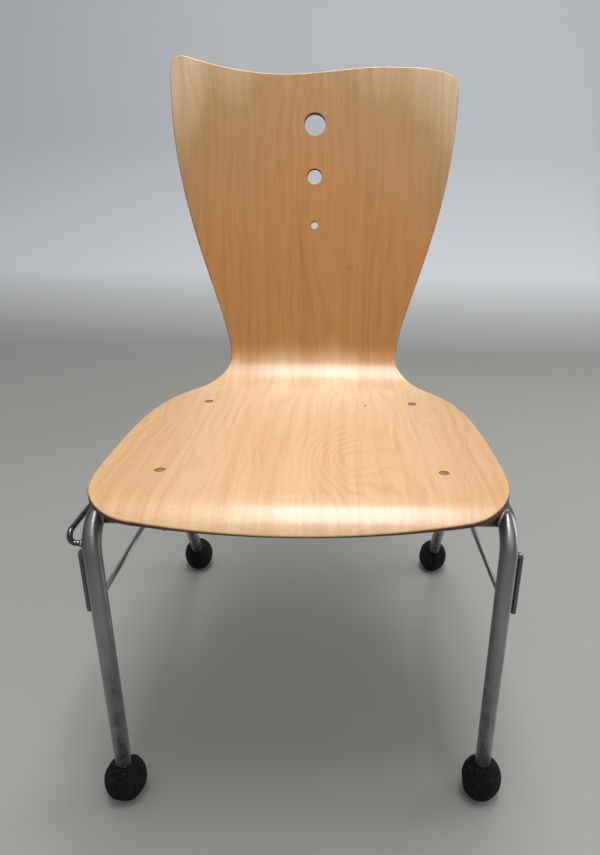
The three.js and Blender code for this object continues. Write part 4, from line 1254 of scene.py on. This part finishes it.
def open_pored_foam(tints):
    """Black foam rubber with a torn, open skin: matt, mottled, with pores of 1 to 2 mm."""
    material, tree, shader = new_finish("open_pored_foam")
    place = own_place(tree)
    pores = add_node(tree, "ShaderNodeTexVoronoi", {"Vector": place, "Scale": 620.0}).outputs["Distance"]
    mottle = noise(tree, place, 240.0, 6.0)
    foam = tuple(tints.foam)
    tone = toned(tree, mottle, (0.35, times(0.35, foam)), (0.52, foam), (0.68, times(2.6, foam)))
    tree.links.new(tone, shader.inputs["Base Color"])
    shader.inputs["Roughness"].default_value = 0.95
    shader.inputs["Specular IOR Level"].default_value = 0.2
    roughened(tree, shader, maths(tree, "ADD", mottle, pores), 1.0, 0.0012)
    return material


def moulded_nylon(tints):
    """Black nylon from the mould: a faint spark-eroded texture of half a millimetre."""
    material, tree, shader = new_finish("moulded_nylon")
    texture = noise(tree, own_place(tree), 2000.0, 2.0)
    nylon = tuple(tints.nylon)
    tone = toned(tree, texture, (0.3, times(0.8, nylon)), (0.7, times(1.2, nylon)))
    tree.links.new(tone, shader.inputs["Base Color"])
    shader.inputs["Roughness"].default_value = 0.55
    roughened(tree, shader, texture, 0.3, 0.0001)
    return material


def rolled_paint(tints):
    """Matt paint rolled on a studio sweep: pale grey on the floor, nearly white up the wall."""
    material, tree, shader = new_finish("rolled_paint")
    place = own_place(tree)
    height = add_node(tree, "ShaderNodeSeparateXYZ", {0: place}).outputs["Z"]
    paint = blended(tree, remapped(tree, height, 0.0, 0.2), (*tints.floor, 1), (*tints.wall, 1))
    uneven = remapped(tree, noise(tree, place, 1.3, 3.0), 0.2, 0.8, 0.97, 1.0)
    scaled = add_node(tree, "ShaderNodeVectorMath", {0: paint, "Scale": uneven}, operation="SCALE").outputs[0]
    tree.links.new(scaled, shader.inputs["Base Color"])
    shader.inputs["Roughness"].default_value = 0.8
    return material


# ---------------------------------------------------------------------------
# Operators
# ---------------------------------------------------------------------------


def steel_piece(scene, name, surface, *nodes, bright=False):
    """A chromed piece that stands for CAD nodes, dull as the tubes or bright as the pins and the rail."""
    tints = scene.chair_colours
    if bright:
        chrome, tint, blur = "bright_chromed_steel", tints.bright_steel, BRIGHT_BLUR
    else:
        chrome, tint, blur = "dull_chromed_steel", tints.steel, DULL_BLUR
    finish = bpy.data.materials.get(chrome) or chromed_steel(chrome, tint, tints.specks_and_shade, blur)
    piece = mesh_object(name, *surface, finish)
    if nodes:
        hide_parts(*nodes)
    return piece


class CHAIR_OT_shell(bpy.types.Operator):
    """Bent plywood seat and back in one piece"""

    bl_idname = "chair.shell"
    bl_label = "Plywood shell"

    def execute(self, context):
        scene = context.scene
        beech = lacquered_beech_plywood(scene.chair_colours, scene.chair_shell)
        plywood_shell(scene.chair_shell, scene.chair_frame, beech)
        return {"FINISHED"}


class CHAIR_OT_side_frames(bpy.types.Operator):
    """Two bent side frames"""

    bl_idname = "chair.side_frames"
    bl_label = "Side frames"

    def execute(self, context):
        scene = context.scene
        for hand, side in HANDS.items():
            corners = frame_corners(scene.chair_shell, scene.chair_frame, scene.chair_feet, side)
            surface = side_frame_surface(corners, scene.chair_frame)
            steel_piece(scene, f"{hand}_bent_tube", surface, f"{hand}_side_frame")
        return {"FINISHED"}


class CHAIR_OT_cross_tubes(bpy.types.Operator):
    """Two cross tubes under the seat, with their welds"""

    bl_idname = "chair.cross_tubes"
    bl_label = "Cross tubes"

    def execute(self, context):
        scene = context.scene
        corners = frame_corners(scene.chair_shell, scene.chair_frame, scene.chair_feet, 1)
        places = fixings(scene.chair_shell, scene.chair_frame)
        for row in ("front", "rear"):
            tube, welds = cross_tube_surface(places[f"{row}_right"], corners, scene.chair_frame)
            steel_piece(scene, f"{row}_seat_tube", tube, f"{row}_cross_tube")
            steel_piece(scene, f"{row}_seat_tube_welds", joined(*welds))
        return {"FINISHED"}


class CHAIR_OT_rods(bpy.types.Operator):
    """Stretchers, linking pins and linking rail, with their welds"""

    bl_idname = "chair.rods"
    bl_label = "Welded rods"

    def execute(self, context):
        scene = context.scene
        sizes = scene.chair_frame
        for hand, side in HANDS.items():
            corners = frame_corners(scene.chair_shell, sizes, scene.chair_feet, side)
            rods = {
                "stretcher": (stretcher_surface, "stretcher_rod"),
                "pin": (linking_pin_surface, "linking_pin"),
            }
            if hand == "left":
                rods["rail"] = (linking_rail_surface, "linking_rail")
            for name, (make, node) in rods.items():
                rod, welds = make(corners, sizes)
                steel_piece(scene, f"{hand}_{name}", rod, f"{hand}_{node}", bright=name != "stretcher")
                steel_piece(scene, f"{hand}_{name}_welds", joined(*welds))
        return {"FINISHED"}


class CHAIR_OT_fixings(bpy.types.Operator):
    """Screws, saddles, washers and nuts that hold the shell"""

    bl_idname = "chair.fixings"
    bl_label = "Fixings"

    def execute(self, context):
        scene = context.scene
        tints, sizes = scene.chair_colours, scene.chair_frame
        bronze, zinc, nylon = bronzed_steel(tints), zinc_plated_steel(tints), moulded_nylon(tints)
        for name, place in fixings(scene.chair_shell, sizes).items():
            saddle_end = sizes.gap + sizes.saddle + sizes.saddle_wrap
            saddle = saddled_surface(place, sizes, sizes.saddle_width / 2, sizes.gap, saddle_end, above=True)
            washer_start = place.tube_depth - sizes.washer_wrap
            washer_end = place.nut_depth - sizes.gap
            washer = saddled_surface(
                place, sizes, sizes.washer_width / 2, washer_start, washer_end, above=False
            )
            for piece_name, surface, finish, slot, node in (
                ("screw", screw_surface(place, sizes), bronze, "screw_bronze", "shell_screw"),
                ("seat_saddle", saddle, nylon, "black_nylon", "saddle"),
                ("curved_washer", washer, zinc, "zinc_steel", "washer"),
                ("hex_nut", nut_surface(place, sizes), zinc, "zinc_steel", "nut"),
            ):
                piece = mesh_object(f"{name}_{piece_name}", *surface, finish)
                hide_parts(f"{name}_{node}")
        for row in ("front", "rear"):
            for hand in HANDS:
                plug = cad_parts[f"{row}_{hand}_tube_plug"].data
                plug.materials.clear()
                plug.materials.append(nylon)
        return {"FINISHED"}


class CHAIR_OT_feet(bpy.types.Operator):
    """Four foam ball feet"""

    bl_idname = "chair.feet"
    bl_label = "Ball feet"

    def execute(self, context):
        scene = context.scene
        foam = open_pored_foam(scene.chair_colours)
        for index, (hand, side) in enumerate(HANDS.items()):
            corners = frame_corners(scene.chair_shell, scene.chair_frame, scene.chair_feet, side)
            for row, (foot, knee) in {"front": corners[:2], "rear": corners[:1:-1]}.items():
                node = f"{row}_{hand}_ball_foot"
                low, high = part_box(node)
                radius = (high[0] - low[0]) / 2
                seed = 10 * index + len(row)
                surface = ball_foot_surface(foot, knee, radius, scene.chair_frame, scene.chair_feet, seed)
                ball = mesh_object(f"{row}_{hand}_foam_ball", *surface, foam)
                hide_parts(node)
        return {"FINISHED"}


# The soft lights of the studio, in metres: side, place and target.
SOFT_FILL = ((1.2, 1.2), (1.5, -2.2, 2.4), (0, 0, 0.3))
SIDE_WINDOW = ((1.2, 1.2), (2.2, 0.5, 0.8), (0, 0, 0.4))
# The studio sweep, in metres: where its floor starts and where it begins to turn up, the radius of the turn,
# the height of the wall, and half of the width.
SWEEP_START, SWEEP_TURN, SWEEP_RADIUS, SWEEP_HEIGHT, SWEEP_HALF_WIDTH = -6.0, 1.5, 0.7, 4.0, 7


class CHAIR_OT_studio(bpy.types.Operator):
    """Floor, lights and camera"""

    bl_idname = "chair.studio"
    bl_label = "Studio"

    def execute(self, context):
        scene = context.scene
        sizes = scene.chair_studio
        self.add_floor(scene)
        above = (sizes.panel_x, FRONT_FEET_Y + sizes.panel_y, sizes.panel_z)
        panel = (sizes.panel_width, sizes.panel_length)
        self.add_light("overhead_panel", sizes.panel_power, panel, above, above * np.array([1, 1, 0]))
        self.add_light("soft_fill", sizes.fill_power, *SOFT_FILL)
        self.add_light("side_window", sizes.window_power, *SIDE_WINDOW)
        self.add_room(scene, sizes)
        scene.view_settings.view_transform = "Standard"
        self.add_camera(scene, sizes)
        return {"FINISHED"}

    def add_floor(self, scene):
        """A floor that turns up into a wall: a quarter round between two flats, swept sideways."""
        a = np.linspace(0, np.pi / 2, 24)
        wall = SWEEP_TURN + SWEEP_RADIUS
        y = np.concatenate([[SWEEP_START], SWEEP_TURN + SWEEP_RADIUS * np.sin(a), [wall]])
        z = np.concatenate([[0.0], SWEEP_RADIUS * (1 - np.cos(a)), [SWEEP_HEIGHT]])
        x = np.linspace(-SWEEP_HALF_WIDTH, SWEEP_HALF_WIDTH, 9)
        points = np.stack([np.tile(x, len(y)), np.repeat(y, len(x)), np.repeat(z, len(x))], 1)
        i, j = np.meshgrid(np.arange(len(y) - 1), np.arange(len(x) - 1), indexing="ij")
        corner = (i * len(x) + j).ravel()
        faces = np.stack([corner, corner + 1, corner + len(x) + 1, corner + len(x)], 1)
        mesh = bpy.data.meshes.new("floor_and_wall")
        mesh.from_pydata(points.tolist(), [], faces.tolist())
        mesh.polygons.foreach_set("use_smooth", np.ones(len(faces), bool))
        mesh.materials.append(rolled_paint(scene.chair_colours))
        floor = bpy.data.objects.new("floor_and_wall", mesh)
        scene.collection.objects.link(floor)

    def add_room(self, scene, sizes):
        """The room's own light: horizon + (ceiling - horizon) z^2, with z the height of the direction."""
        world = bpy.data.worlds.new("room")
        world.use_nodes = True
        tree = world.node_tree
        toward = add_node(tree, "ShaderNodeTexCoord").outputs["Generated"]
        height = add_node(tree, "ShaderNodeSeparateXYZ", {0: toward}).outputs["Z"]
        squared = maths(tree, "POWER", maths(tree, "MAXIMUM", height, 0.0), 2.0)
        strength = maths(tree, "MULTIPLY_ADD", squared, sizes.ceiling - sizes.horizon, sizes.horizon)
        tree.nodes["Background"].inputs["Color"].default_value = (1, 1, 1, 1)
        tree.links.new(strength, tree.nodes["Background"].inputs["Strength"])
        scene.world = world

    def add_light(self, name, power, size, place, target):
        """A rectangular light that faces its target, and runs from front to back if it hangs overhead."""
        light = bpy.data.lights.new(name, "AREA")
        light.energy = power
        light.shape = "RECTANGLE"
        light.size, light.size_y = size
        lamp = bpy.data.objects.new(name, light)
        bpy.context.scene.collection.objects.link(lamp)
        backwards = unit(np.array(place) - np.array(target))
        right = unit(np.cross((0, 1, 0) if abs(backwards[2]) > 0.9 else UP, backwards))
        turned = np.stack([right, np.cross(backwards, right), backwards], 1)
        lamp.matrix_world = Matrix.Translation(place) @ Matrix(turned.tolist()).to_4x4()

    def add_camera(self, scene, sizes):
        """Looks along yaw and pitch, then leans by roll about that line."""
        forward = np.array(
            [
                math.sin(sizes.yaw) * math.cos(sizes.pitch),
                math.cos(sizes.yaw) * math.cos(sizes.pitch),
                -math.sin(sizes.pitch),
            ]
        )
        level = np.array([math.cos(sizes.yaw), -math.sin(sizes.yaw), 0])
        up = np.cross(level, forward)
        right = level * math.cos(sizes.roll) + up * math.sin(sizes.roll)
        up = np.cross(right, forward)
        camera = bpy.data.cameras.new("camera")
        camera.lens = sizes.lens
        camera.shift_x = sizes.shift
        camera.clip_start = 0.01
        eye = bpy.data.objects.new("camera", camera)
        scene.collection.objects.link(eye)
        place = (sizes.camera_x, FRONT_FEET_Y + sizes.camera_y, sizes.camera_z)
        turned = np.stack([right, up, -forward], 1)
        eye.matrix_world = Matrix.Translation(place) @ Matrix(turned.tolist()).to_4x4()
        scene.camera = eye


OPERATORS = (
    CHAIR_OT_studio,
    CHAIR_OT_shell,
    CHAIR_OT_side_frames,
    CHAIR_OT_cross_tubes,
    CHAIR_OT_rods,
    CHAIR_OT_fixings,
    CHAIR_OT_feet,
)


class CHAIR_PT_sidebar(bpy.types.Panel):
    """Lists the steps that build the chair"""

    bl_idname = "CHAIR_PT_sidebar"
    bl_label = "Stacking chair"
    bl_space_type = "VIEW_3D"
    bl_region_type = "UI"
    bl_category = "Stacking chair"

    def draw(self, context):
        for operator in OPERATORS:
            self.layout.operator(operator.bl_idname)
        for name in GROUPS:
            box = self.layout.box()
            group = getattr(context.scene, name)
            for key in group.bl_rna.properties.keys():
                if key not in ("rna_type", "name"):
                    box.prop(group, key)


GROUPS = {
    "chair_shell": ShellSizes,
    "chair_frame": FrameSizes,
    "chair_feet": FootSizes,
    "chair_colours": ChairColours,
    "chair_studio": StudioSizes,
}


def register():
    for name, group in GROUPS.items():
        bpy.utils.register_class(group)
        setattr(bpy.types.Scene, name, bpy.props.PointerProperty(type=group))
    for operator in OPERATORS:
        bpy.utils.register_class(operator)
    bpy.utils.register_class(CHAIR_PT_sidebar)


def unregister():
    bpy.utils.unregister_class(CHAIR_PT_sidebar)
    for operator in reversed(OPERATORS):
        bpy.utils.unregister_class(operator)
    for name, group in reversed(GROUPS.items()):
        delattr(bpy.types.Scene, name)
        bpy.utils.unregister_class(group)


def main():
    """Builds every piece in order."""
    register()
    bpy.ops.chair.studio()
    bpy.ops.chair.shell()
    bpy.ops.chair.side_frames()
    bpy.ops.chair.cross_tubes()
    bpy.ops.chair.rods()
    bpy.ops.chair.fixings()
    bpy.ops.chair.feet()


if __name__ == "__main__":
    main()
